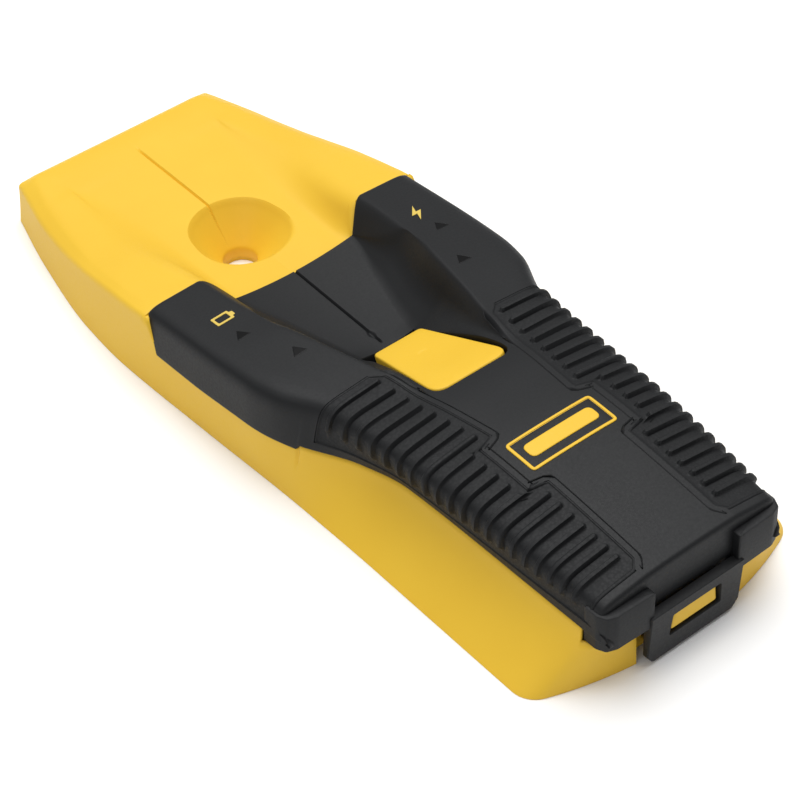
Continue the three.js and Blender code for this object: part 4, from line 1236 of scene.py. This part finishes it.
    def grid(self) -> np.ndarray:
        """Half of the finished surface as a grid of points.

        Returns:
            Points, rows by columns by 3, from under the skirt to the centre line.
        """
        start = self.starts()
        share = np.array([0, 0.04, 0.12, 0.25, 0.4, 0.55, 0.7, 0.85])[:, None]
        front = start + (self.blend_y - start) * share
        rows = self.rows()
        y = np.concatenate([front, np.broadcast_to(rows[:, None], (len(rows), len(start)))])
        points = self.surface(y)
        points -= surface_normals(points) * self.sunk(y)[..., None]
        points[:, -1, 0] = 0
        left = np.clip(self.tail_round - (y - self.tail_y), 0, self.tail_round)
        inset = self.tail_round - np.sqrt(np.maximum(self.tail_round**2 - left**2, 0))
        points[..., 2] -= inset
        points[..., 0] *= 1 - inset / self.tail_half
        return points

    def hole(self, skin: Skin, half: np.ndarray) -> None:
        """Adds the half grid with the button's opening left out, and the opening's walls.

        Args:
            skin: the cover's skin.
            half: half of the cover's surface, rows by columns by 3.
        """
        full = np.concatenate([half, half[:, -2::-1] * (-1, 1, 1)], axis=1)
        y = half[:, -1, 1]
        top = int(np.argmin(np.abs(y - self.hole_front)))
        bottom = int(np.argmin(np.abs(y - self.hole_rear)))
        first = len(section_weights(self.BENDS)) - 1
        last = full.shape[1] - 1 - first
        keep = np.ones((full.shape[0] - 1, full.shape[1] - 1), bool)
        keep[top:bottom, first:last] = False
        skin.grid(full, keep)
        loop = np.concatenate([full[top, first:last], full[top:bottom, last], full[bottom, last:first:-1],
                               full[bottom:top:-1, first]])
        centre = loop.mean(axis=0)
        inward = (centre - loop) * (1, 1, 0)
        inward /= np.linalg.norm(inward, axis=1, keepdims=True)
        down = np.array(self.button_way)
        skin.ring([loop, *(loop + inward * inset + down * depth for inset, depth in self.hole_fold)])
        tail = full[-1]
        fall = np.array((0, 0, 1)) * (self.tail_foot - tail[:, 2:3])
        skin.ring([tail + fall * share for share in np.linspace(0, 1, 6)], closed=False)

    def height(self, x: np.ndarray, y: np.ndarray) -> np.ndarray:
        """Height of the clean surface over plan points.

        Args:
            x: places across.
            y: places along.

        Returns:
            The height at each place.
        """
        sections = self.surface(np.broadcast_to(y[:, None], (len(y), self.columns())))
        first = self.column(self.EDGE)
        return np.array([np.interp(abs(at), row[first:][::-1, 0], row[first:][::-1, 2])
                         for at, row in zip(x, sections)])

    def lift(self, x: np.ndarray, y: np.ndarray, rise: np.ndarray) -> np.ndarray:
        """Points over plan points, a set rise above the clean surface."""
        return np.stack([x, y, self.height(x, y) + rise], -1)

    def build(self, wardrobe: Wardrobe) -> None:
        """Makes the cover's skin, and the floor of the pocket under the button.

        Args:
            wardrobe: the finishes, by slot.
        """
        skin = Skin()
        self.hole(skin, self.grid())
        shell = skin.make("cover_shell")
        thicken(shell, self.wall)
        wardrobe.fit(shell, Slot.BLACK, Body.ROOT, "top_cover")
        half, front, rear = self.pocket_half, self.pocket_front, self.pocket_rear
        corners = np.array([(-half, rear), (half, rear), (half, front), (-half, front)])
        outline = rounded_outline(corners, [0.5] * 4, 5, 10)
        rim = ((0.0, self.pocket_z - self.pocket_thickness), (0.0, self.pocket_z - 0.1), (0.1, self.pocket_z))
        wardrobe.fit(slab("button_pocket", outline, rim, upright), Slot.BLACK, Body.ROOT)


@dataclass
class GripPad:
    """A rubber pad that wraps over the grip's edge, with a row of round-ended transverse slots."""

    cover: Cover
    border: Stations = ((-17.2, 14.2), (-19, 12.2), (-22.6, 11.6), (-43.2, 9.3), (-44.2, 12.6), (-56.4, 12.6),
                        (-57.2, 9.0), (-77.2, 9.0), (-78.6, 10.4))
    front: float = -17.2
    rear: float = -78.6
    rise: float = 0.14
    edge_round: float = 0.22
    slot_first: float = -19.3
    slot_pitch: float = 3.3
    slot_closing: float = 0.0185
    slot_count: int = 20
    slot_half: float = 0.62
    slot_depth: float = 0.85
    slot_start: float = 1.25
    slot_end: float = 2.6
    slot_wall: tuple[float, float] = (0.28, 0.05)
    wall: float = 0.9

    # Distances from the inner border and from the lower border at which the columns lie.
    NEAR = (0, 0.1, 0.3, 0.6, 1.0, 1.3, 1.5, 1.7, 1.9, 2.15, 2.5)
    LAST = (0.3, 0.1, 0.0)

    def base(self) -> tuple[np.ndarray, np.ndarray, np.ndarray]:
        """The clean surface under the pad, and each point's distance from its two long borders.

        Returns:
            The points, and each one's distance from the inner border and from the lower one.
        """
        rows = rows_between((self.front, 0.1), (self.front - 0.4, 0.21), (self.rear + 0.4, 0.1),
                            (self.rear, 0))
        sections = self.cover.surface(np.broadcast_to(rows[:, None], (len(rows), self.cover.columns())))
        edge, skirt = self.cover.column(self.cover.EDGE), self.cover.column(self.cover.SKIRT)
        low = straight(self.cover.pad_low, rows)
        border = straight(self.border, rows)
        near, last = np.array(self.NEAR), np.array(self.LAST)
        far = np.linspace(0, 1, 20)[1:]
        grid, first, end = [], [], []
        for section, start_x, low_z in zip(sections, border, low):
            out = section[::-1]
            run = np.concatenate([[0], np.cumsum(np.linalg.norm(np.diff(out[:, ::2], axis=0), axis=1))])
            turn, foot = len(out) - 1 - edge, len(out) - skirt
            start = np.interp(start_x, out[:turn, 0], run[:turn])
            stop = np.interp(-low_z, -out[turn:foot, 2], run[turn:foot])
            width = stop - start
            reach = near[-1] + (width - near[-1] - last[0]) * far[:-1]
            distance = np.concatenate([near, reach, width - last])
            at = start + distance
            x, z = np.interp(at, run, out[:, 0]), np.interp(at, run, out[:, 2])
            grid.append(np.stack([x, np.full_like(x, section[0, 1]), z], -1))
            first.append(distance)
            end.append(width - distance)
        return np.array(grid), np.array(first), np.array(end)

    def relief(self, y: np.ndarray, first: np.ndarray, end: np.ndarray) -> np.ndarray:
        """Height over the clean surface: rounded borders, less round-ended slots.

        Slot k lies at first - pitch * k + closing * k squared, so the slots close up to the rear.

        Args:
            y: place of each point along the tool.
            first: distance from the inner border.
            end: distance from the lower border.

        Returns:
            The height at each point.
        """
        near = np.minimum(np.minimum(first, end), np.minimum(self.front - y, y - self.rear))
        edge = np.clip(1 - near / self.edge_round, 0, 1)
        height = self.rise - self.edge_round * (1 - np.sqrt(np.maximum(1 - edge**2, 0)))
        number = np.arange(self.slot_count)
        middles = self.slot_first - self.slot_pitch * number + self.slot_closing * number**2
        along = np.abs(y[..., None] - middles).min(axis=-1)
        beyond = np.maximum(self.slot_start + self.slot_half - first, 0)
        beyond = np.maximum(beyond, self.slot_end + self.slot_half - end)
        distance = np.hypot(along, beyond)
        inside, outside = self.slot_wall
        solid = ramp(distance, self.slot_half - inside, self.slot_half + outside)
        return height - self.slot_depth * (1 - solid)

    def build(self, wardrobe: Wardrobe) -> None:
        """Makes the left and the right pad.

        Args:
            wardrobe: the finishes, by slot.
        """
        points, first, end = self.base()
        normal = surface_normals(points)
        points = points + normal * self.relief(points[..., 1], first, end)[..., None]
        for name, side in (("right_grip", 1), ("left_grip", -1)):
            skin = Skin()
            skin.grid(points * (side, 1, 1))
            pad = skin.make(name, crease=50)
            thicken(pad, self.wall)
            wardrobe.fit(pad, Slot.RUBBER, Body.ROOT, f"{name}_pad")


@dataclass
class PowerButton:
    """The sprung button: a wedge-shaped cap with a shallow dish, on a stem with a spring cup."""

    middle: tuple[float, float, float] = (0, -17.5, 18.0)
    tilt: float = math.atan(0.352)
    length: float = 22.6
    front_half: float = 5.4
    rear_half: float = 8.4
    thickness: float = 2.2
    dish_r: float = 70.0
    dish_depth: float = 0.3
    corner_r: tuple[float, ...] = (3.6, 3.6, 1.0, 1.0)
    stem: tuple[float, float, float, float] = (-15.6, 1.9, 10.65, 16.6)
    cup: tuple[float, float, float, float] = (-9.4, 2.4, 11.45, 13.4)

    def lift(self, x: np.ndarray, y: np.ndarray, h: np.ndarray) -> np.ndarray:
        """Puts the cap's own plan and height in place: a sphere's dish in the face, then the tilt.

        Args:
            x: places across the cap.
            y: places along the cap.
            h: heights over its face.

        Returns:
            Points in the object's frame.
        """
        ball = self.dish_r - self.dish_depth - np.sqrt(self.dish_r**2 - x**2 - y**2)
        h = np.where(h > -0.3, h + np.minimum(ball, 0), h)
        sin, cos = math.sin(self.tilt), math.cos(self.tilt)
        return np.stack([x, y * cos + h * sin, h * cos - y * sin], -1) + self.middle

    def build(self, wardrobe: Wardrobe) -> None:
        """Makes the cap with its stem and spring cup.

        Args:
            wardrobe: the finishes, by slot.
        """
        half = self.length / 2
        corners = np.array([(-self.rear_half, -half), (self.rear_half, -half), (self.front_half, half),
                            (-self.front_half, half)])
        outline = rounded_outline(corners, self.corner_r, 10, 14)
        rim = ((0.0, -self.thickness), (0.0, -0.4), (0.05, -0.2), (0.16, -0.06), (0.34, 0.0))
        cap = slab("button_cap", outline, rim, self.lift)
        wardrobe.fit(cap, Slot.YELLOW, Body.BUTTON, "power_button")
        for name, (y, radius, low, high) in (("button_stem", self.stem), ("spring_cup", self.cup)):
            rim = ((0.3, low), (0.0, low + 0.3), (0.0, high))
            post = slab(name, circle(radius, 32) + (0, y), rim, upright)
            wardrobe.fit(post, Slot.YELLOW, Body.BUTTON)
        Coil().build(wardrobe)


@dataclass
class Coil:
    """The button's return spring: round wire wound up from the board to the cup, as it is at rest."""

    y: float = -9.4
    coil_r: float = 1.7
    wire_r: float = 0.28
    low: float = 5.52
    high: float = 10.9
    turns: float = 5.5
    flat_share: float = 0.06
    keep: float = 0.8

    def build(self, wardrobe: Wardrobe) -> None:
        """Makes the wire, as it is at rest.

        The wire's middle rises along a helix of even pitch, but for a third of a turn at each end,
        which lies flat. Its section is a circle in the plane of the helix's radius and of the
        vertical, and both ends close on their middle point.

        Args:
            wardrobe: the finishes.
        """
        share = np.linspace(0, 1, 181)
        turn = share * self.turns * 2 * math.pi
        rise = np.clip((share - self.flat_share) / (1 - 2 * self.flat_share), 0, 1)
        height = self.low + self.wire_r + rise * (self.high - self.low - 2 * self.wire_r)
        out = np.stack([np.cos(turn), np.sin(turn), 0 * turn], 1)
        middle = self.coil_r * out + np.stack([0 * turn, 0 * turn + self.y, height], 1)
        round_wire = np.linspace(0, 2 * math.pi, 13)
        reach = self.wire_r * np.where((share == 0) | (share == 1), 0, 1)[:, None, None]
        wire = middle[:, None] + reach * (np.cos(round_wire)[None, :, None] * out[:, None]
                                          + np.sin(round_wire)[None, :, None] * (0, 0, 1))
        skin = Skin()
        skin.grid(wire)
        spring = skin.make("return_spring")
        wardrobe.fit(spring, Slot.STEEL, Body.ROOT, "button_spring")
        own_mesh(spring)


@dataclass
class Tail:
    """The two blocks at the cover's rear corners and the frame round the latch tab's window."""

    inner: float = 9.2
    outer: float = 19.6
    front: float = -77.4
    rear: float = -82.9
    low: float = 9.9
    high: float = 17.8
    frame_half: float = 10.2
    frame_top: float = 12.4
    frame_front: float = -81.5
    frame_rear: float = -83.35
    frame_foot: float = -82.45
    frame_corner: tuple[float, float] = (1.3, 1.9)
    frame_low: float = 0.7
    frame_bevel: float = 0.16
    window: Stations = ((-5.6, 5.2), (5.6, 5.2), (5.2, 9.9), (-5.2, 9.9))
    window_middle: tuple[float, float] = (0.0, 7.2)

    def frame_lift(self, x: np.ndarray, z: np.ndarray, h: np.ndarray) -> np.ndarray:
        """Stands the frame up: height 0 is its front face and 1 its leaning rear face."""
        lean = self.frame_foot + (self.frame_rear - self.frame_foot) * np.clip(z / self.frame_top, 0, 1)
        return np.stack([-x, self.frame_front + (lean - self.frame_front) * h, z], -1)

    def build(self, wardrobe: Wardrobe) -> None:
        """Makes both blocks and the frame.

        Args:
            wardrobe: the finishes, by slot.
        """
        a, b, rear = self.inner, self.outer, self.rear
        corners = np.array([(a, rear), (b - 2.6, rear + 0.2), (b - 0.8, rear + 0.9), (b, rear + 2.6),
                            (b, self.front), (a, self.front)])
        rim = ((0.25, self.low), (0.0, self.low + 0.25), (0.0, self.high - 0.35), (0.1, self.high - 0.1),
               (0.35, self.high))
        for name, side in (("right_tail_block", 1), ("left_tail_block", -1)):
            turned = corners if side > 0 else (corners * (-1, 1))[::-1]
            outline = rounded_outline(turned, [0.35] * 6, 4, 6)
            wardrobe.fit(slab(name, outline, rim, upright), Slot.BLACK, Body.ROOT)
        half, top, foot = self.frame_half, self.frame_top, self.frame_low
        across, up = self.frame_corner
        outside = np.array([(half - across, foot), (half, foot + up), (half, top), (-half, top),
                            (-half, foot + up), (-half + across, foot)])
        outer = by_angle(outside, self.window_middle, 240)
        inner = by_angle(np.array(self.window), self.window_middle, 240)
        frame_piece = band("latch_frame", outer, inner, 0.0, 1.0, self.frame_bevel, self.frame_lift)
        wardrobe.fit(frame_piece, Slot.BLACK, Body.ROOT)


@dataclass
class LatchPad:
    """The yellow pad on the latch tab that fills the frame's window and is pressed to open the door."""

    half: float = 5.1
    low: float = 5.7
    high: float = 9.5
    front: float = -80.6
    rear: float = -82.5
    taper: float = 0.35

    def lift(self, x: np.ndarray, z: np.ndarray, h: np.ndarray) -> np.ndarray:
        """Stands the pad up: height 0 is on the tab and 1 is its outer face."""
        return np.stack([-x, self.front + (self.rear - self.front) * h, z], -1)

    def build(self, wardrobe: Wardrobe) -> None:
        """Makes the pad with rounded edges.

        Args:
            wardrobe: the finishes, by slot.
        """
        top = self.half - self.taper
        corners = np.array([(-self.half, self.low), (self.half, self.low), (top, self.high),
                            (-top, self.high)])
        outline = rounded_outline(corners, [0.5] * 4, 6, 10)
        rim = ((0.0, 0.0), (0.0, 0.85), (0.1, 0.95), (0.3, 1.0))
        wardrobe.fit(slab("latch_pad", outline, rim, self.lift), Slot.YELLOW, Body.LATCH)


@dataclass
class Markings:
    """The badge, the four lenses and the two symbols, all set on the cover's surface."""

    cover: Cover
    badge_y: float = -50.4
    badge_half: tuple[float, float] = (9.3, 3.7)
    lens_at: tuple[tuple[float, float], ...] = ((22.6, 7.9), (18.6, -3.2))
    lens_size: float = 1.75
    icon_at: tuple[float, float] = (22.2, 14.3)
    bar_share: tuple[float, float] = (0.8, 0.42)
    battery_half: tuple[float, float] = (1.8, 1.3)
    battery_line: float = 0.5
    terminal: float = 0.6
    bolt: Stations = ((0.9, 2.4), (-1.3, -0.3), (-0.1, -0.3), (-0.9, -2.4), (1.3, 0.4), (0.1, 0.4))

    def badge(self, wardrobe: Wardrobe) -> None:
        """Makes a plain badge: a thin border, a dark field inside it and a raised bar.

        Args:
            wardrobe: the finishes, by slot.
        """
        wide, deep = self.badge_half
        corners = np.array([(-wide, -deep), (wide, -deep), (wide, deep), (-wide, deep)])
        outline = rounded_outline(corners, [0.9] * 4, 6, 12) + (0, self.badge_y)
        rim = ((0.0, -0.4), (0.0, 0.14), (0.06, 0.2), (0.16, 0.22), (0.4, 0.22), (0.48, 0.2), (0.54, 0.08),
               (0.6, 0.06))
        wardrobe.fit(slab("badge", outline, rim, self.cover.lift), Slot.YELLOW, Body.ROOT, "badge_plate")
        field_outline = inset_loop(outline, 0.62)
        rim = ((0.0, 0.0), (0.0, 0.09), (0.05, 0.1))
        wardrobe.fit(slab("badge_field", field_outline, rim, self.cover.lift), Slot.BLACK, Body.ROOT)
        bar = rounded_outline(corners * self.bar_share, [1.2] * 4, 8, 12) + (0, self.badge_y)
        rim = ((0.0, 0.0), (0.0, 0.2), (0.08, 0.27), (0.2, 0.3))
        wardrobe.fit(slab("badge_bar", bar, rim, self.cover.lift), Slot.YELLOW, Body.ROOT)

    def lenses(self, wardrobe: Wardrobe) -> None:
        """Makes the four triangular lenses, each a low gloss plate.

        Args:
            wardrobe: the finishes, by slot.
        """
        for side, side_name in ((-1, "left"), (1, "right")):
            for (x, y), row in zip(self.lens_at, ("front", "rear")):
                angle = math.pi / 2 + np.arange(3) * 2 * math.pi / 3
                corners = self.lens_size * np.stack([np.cos(angle), np.sin(angle)], 1)
                outline = rounded_outline(corners, [0.3] * 3, 5, 8) + (side * x, y)
                rim = ((0.0, -1.0), (0.0, 0.02), (0.08, 0.06))
                piece = slab(f"{side_name}_{row}_window", outline, rim, self.cover.lift)
                wardrobe.fit(piece, Slot.LENS, Body.ROOT, f"{side_name}_{row}_lens")

    def icons(self, wardrobe: Wardrobe) -> None:
        """Makes the outlined battery and the bolt.

        Args:
            wardrobe: the finishes, by slot.
        """
        x, y = self.icon_at
        (wide, deep), knob, line = self.battery_half, self.terminal, self.battery_line
        shape = np.array([(-wide, -deep), (wide, -deep), (wide, -knob), (wide + knob, -knob),
                          (wide + knob, knob), (wide, knob), (wide, deep), (-wide, deep)])
        middle = (-x, y)
        outer = by_angle(shape + middle, middle, 120)
        hollow = np.array([(-1, -1), (1, -1), (1, 1), (-1, 1)]) * (wide - line, deep - line)
        inner = by_angle(hollow + middle, middle, 120)
        piece = band("battery_symbol", outer, inner, -0.1, 0.12, 0.04, self.cover.lift)
        wardrobe.fit(piece, Slot.INK, Body.ROOT, "battery_icon")
        outline = rounded_outline(np.array(self.bolt), [0.12] * 6, 3, 6) + (x, y)
        piece = slab("bolt_symbol", outline, ((0.0, -0.1), (0.0, 0.08), (0.05, 0.12)), self.cover.lift)
        wardrobe.fit(piece, Slot.INK, Body.ROOT, "live_wire_icon")

    def build(self, wardrobe: Wardrobe) -> None:
        """Makes every marking.

        Args:
            wardrobe: the finishes, by slot.
        """
        self.badge(wardrobe)
        self.lenses(wardrobe)
        self.icons(wardrobe)


@dataclass(frozen=True)
class Softened:
    """A CAD node remade with its coplanar triangles joined and its edges rounded over."""

    node: str
    name: str
    width: float
    segments: int = 2

    def build(self, wardrobe: Wardrobe) -> None:
        """Makes the piece on the node's own body and slot.

        Args:
            wardrobe: the finishes, by slot.
        """
        source = frame["nodes"][self.node]
        part = next(p for p in frame["record"]["subparts"] if p["node"] == self.node)
        work = bmesh.new()
        work.from_mesh(source.data)
        work.transform(source.matrix_world)
        bmesh.ops.remove_doubles(work, verts=work.verts, dist=1e-6)
        bmesh.ops.dissolve_limit(work, angle_limit=math.radians(2), verts=work.verts, edges=work.edges)
        mesh = bpy.data.meshes.new(self.name)
        work.to_mesh(mesh)
        work.free()
        piece = placed(mesh, self.name, 35)
        bevel = piece.modifiers.new("rounded", "BEVEL")
        bevel.width = self.width * MM
        bevel.segments = self.segments
        bevel.limit_method = "ANGLE"
        bevel.angle_limit = math.radians(38)
        bevel.harden_normals = False
        wardrobe.fit(piece, Slot(part["material_slot"]), Body(source["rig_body"]), self.node)


SOFTENED: tuple[Softened, ...] = (
    Softened("battery_door", "battery_lid", 0.2),
    Softened("sole_plate", "sole_cover", 0.15),
    Softened("latch_tab", "latch_catch", 0.2, 3),
    Softened("battery_can", "battery_jacket", 0.6, 3),
    Softened("battery_connector", "snap_connector", 0.3),
    Softened("controller_chip", "controller_package", 0.15),
    Softened("amplifier_chip", "amplifier_package", 0.12),
    Softened("switch_body", "switch_case", 0.2),
    *(Softened(f"case_screw_{n}", f"screw_{n}", 0.08) for n in range(1, 5)),
)


# ---------------------------------------------------------------- scene


def dress_remaining(wardrobe: Wardrobe) -> None:
    """Gives each CAD node that still shows the finish of its slot.

    Args:
        wardrobe: the finishes, by slot.
    """
    for part in frame["record"]["subparts"]:
        piece = frame["nodes"][part["node"]]
        if not piece.hide_render:
            wardrobe.dress(piece, Slot(part["material_slot"]))


@dataclass(frozen=True)
class Studio:
    """A pale floor, two soft lights, even light all round and the camera."""

    floor_colour: str = "FDFDFD"
    floor_half: float = 4000.0
    floor_z: float = -0.05
    key_at: tuple[float, float, float] = (200.0, 240.0, 1180.0)
    side_at: tuple[float, float, float] = (-600.0, -200.0, 800.0)
    key_size: float = 1300.0
    side_size: float = 600.0
    key_power: float = 17.8
    side_power: float = 1.5
    fill: float = 0.35
    camera_at: tuple[float, float, float] = (-198.75, -269.26, 308.99)
    camera_forward: tuple[float, float, float] = (0.44028, 0.58098, -0.68455)
    camera_up: tuple[float, float, float] = (0.45374, 0.51393, 0.72801)
    lens: float = 112.5

    def floor(self) -> None:
        """Makes the floor: a wide square just under the sole."""
        mesh = bpy.data.meshes.new("floor")
        half, low = self.floor_half * MM, self.floor_z * MM
        mesh.from_pydata([(-half, -half, low), (half, -half, low), (half, half, low), (-half, half, low)], [],
                         [(0, 1, 2, 3)])
        floor = bpy.data.objects.new("floor", mesh)
        bpy.context.scene.collection.objects.link(floor)
        material = bpy.data.materials.new("matt_paper")
        material.use_nodes = True
        shader = material.node_tree.nodes["Principled BSDF"]
        shader.inputs["Base Color"].default_value = linear(self.floor_colour)
        shader.inputs["Roughness"].default_value = 0.9
        shader.inputs["Specular IOR Level"].default_value = 0.1
        floor.data.materials.append(material)

    def light(self, name: str, at: tuple[float, float, float], size: float, power: float) -> None:
        """Adds a square soft light aimed at the object, placed in millimetres.

        Args:
            name: the light's name.
            at: its place in millimetres.
            size: the square's side in millimetres.
            power: its power in watts.
        """
        lamp = bpy.data.lights.new(name, "AREA")
        lamp.shape = "SQUARE"
        lamp.size = size * MM
        lamp.energy = power
        holder = bpy.data.objects.new(name, lamp)
        bpy.context.scene.collection.objects.link(holder)
        holder.location = Vector(at) * MM
        holder.rotation_mode = "QUATERNION"
        holder.rotation_quaternion = (-Vector(at)).to_track_quat("-Z", "Y")

    def camera(self) -> None:
        """Adds the camera, with its roll set by its up vector."""
        data = bpy.data.cameras.new("camera")
        data.lens = self.lens
        data.sensor_width = 36.0
        data.clip_start, data.clip_end = 0.01, 20.0
        holder = bpy.data.objects.new("camera", data)
        bpy.context.scene.collection.objects.link(holder)
        forward, up = Vector(self.camera_forward).normalized(), Vector(self.camera_up)
        right = forward.cross(up).normalized()
        up = right.cross(forward)
        turn = Matrix((right, up, -forward)).transposed().to_4x4()
        holder.matrix_world = Matrix.Translation(Vector(self.camera_at) * MM) @ turn
        bpy.context.scene.camera = holder

    def world(self) -> None:
        """Fills the surroundings with even pale light."""
        world = bpy.data.worlds.new("studio")
        world.use_nodes = True
        back = world.node_tree.nodes["Background"]
        back.inputs["Color"].default_value = (1, 1, 1, 1)
        back.inputs["Strength"].default_value = self.fill
        bpy.context.scene.world = world

    def build(self) -> None:
        """Makes everything that isn't the object."""
        self.floor()
        self.light("key", self.key_at, self.key_size, self.key_power)
        self.light("side", self.side_at, self.side_size, self.side_power)
        self.world()
        self.camera()
        bpy.context.scene.view_settings.view_transform = "Standard"


def main() -> None:
    """Builds the object, then the studio round it."""
    logging.basicConfig(level=logging.INFO, format="%(name)s %(message)s")
    wardrobe = Wardrobe()
    Housing().build(wardrobe)
    cover = Cover()
    cover.build(wardrobe)
    GripPad(cover).build(wardrobe)
    PowerButton().build(wardrobe)
    Tail().build(wardrobe)
    LatchPad().build(wardrobe)
    Markings(cover).build(wardrobe)
    for piece in SOFTENED:
        piece.build(wardrobe)
    dress_remaining(wardrobe)
    Studio().build()


if __name__ == "__main__":
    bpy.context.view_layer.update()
    main()
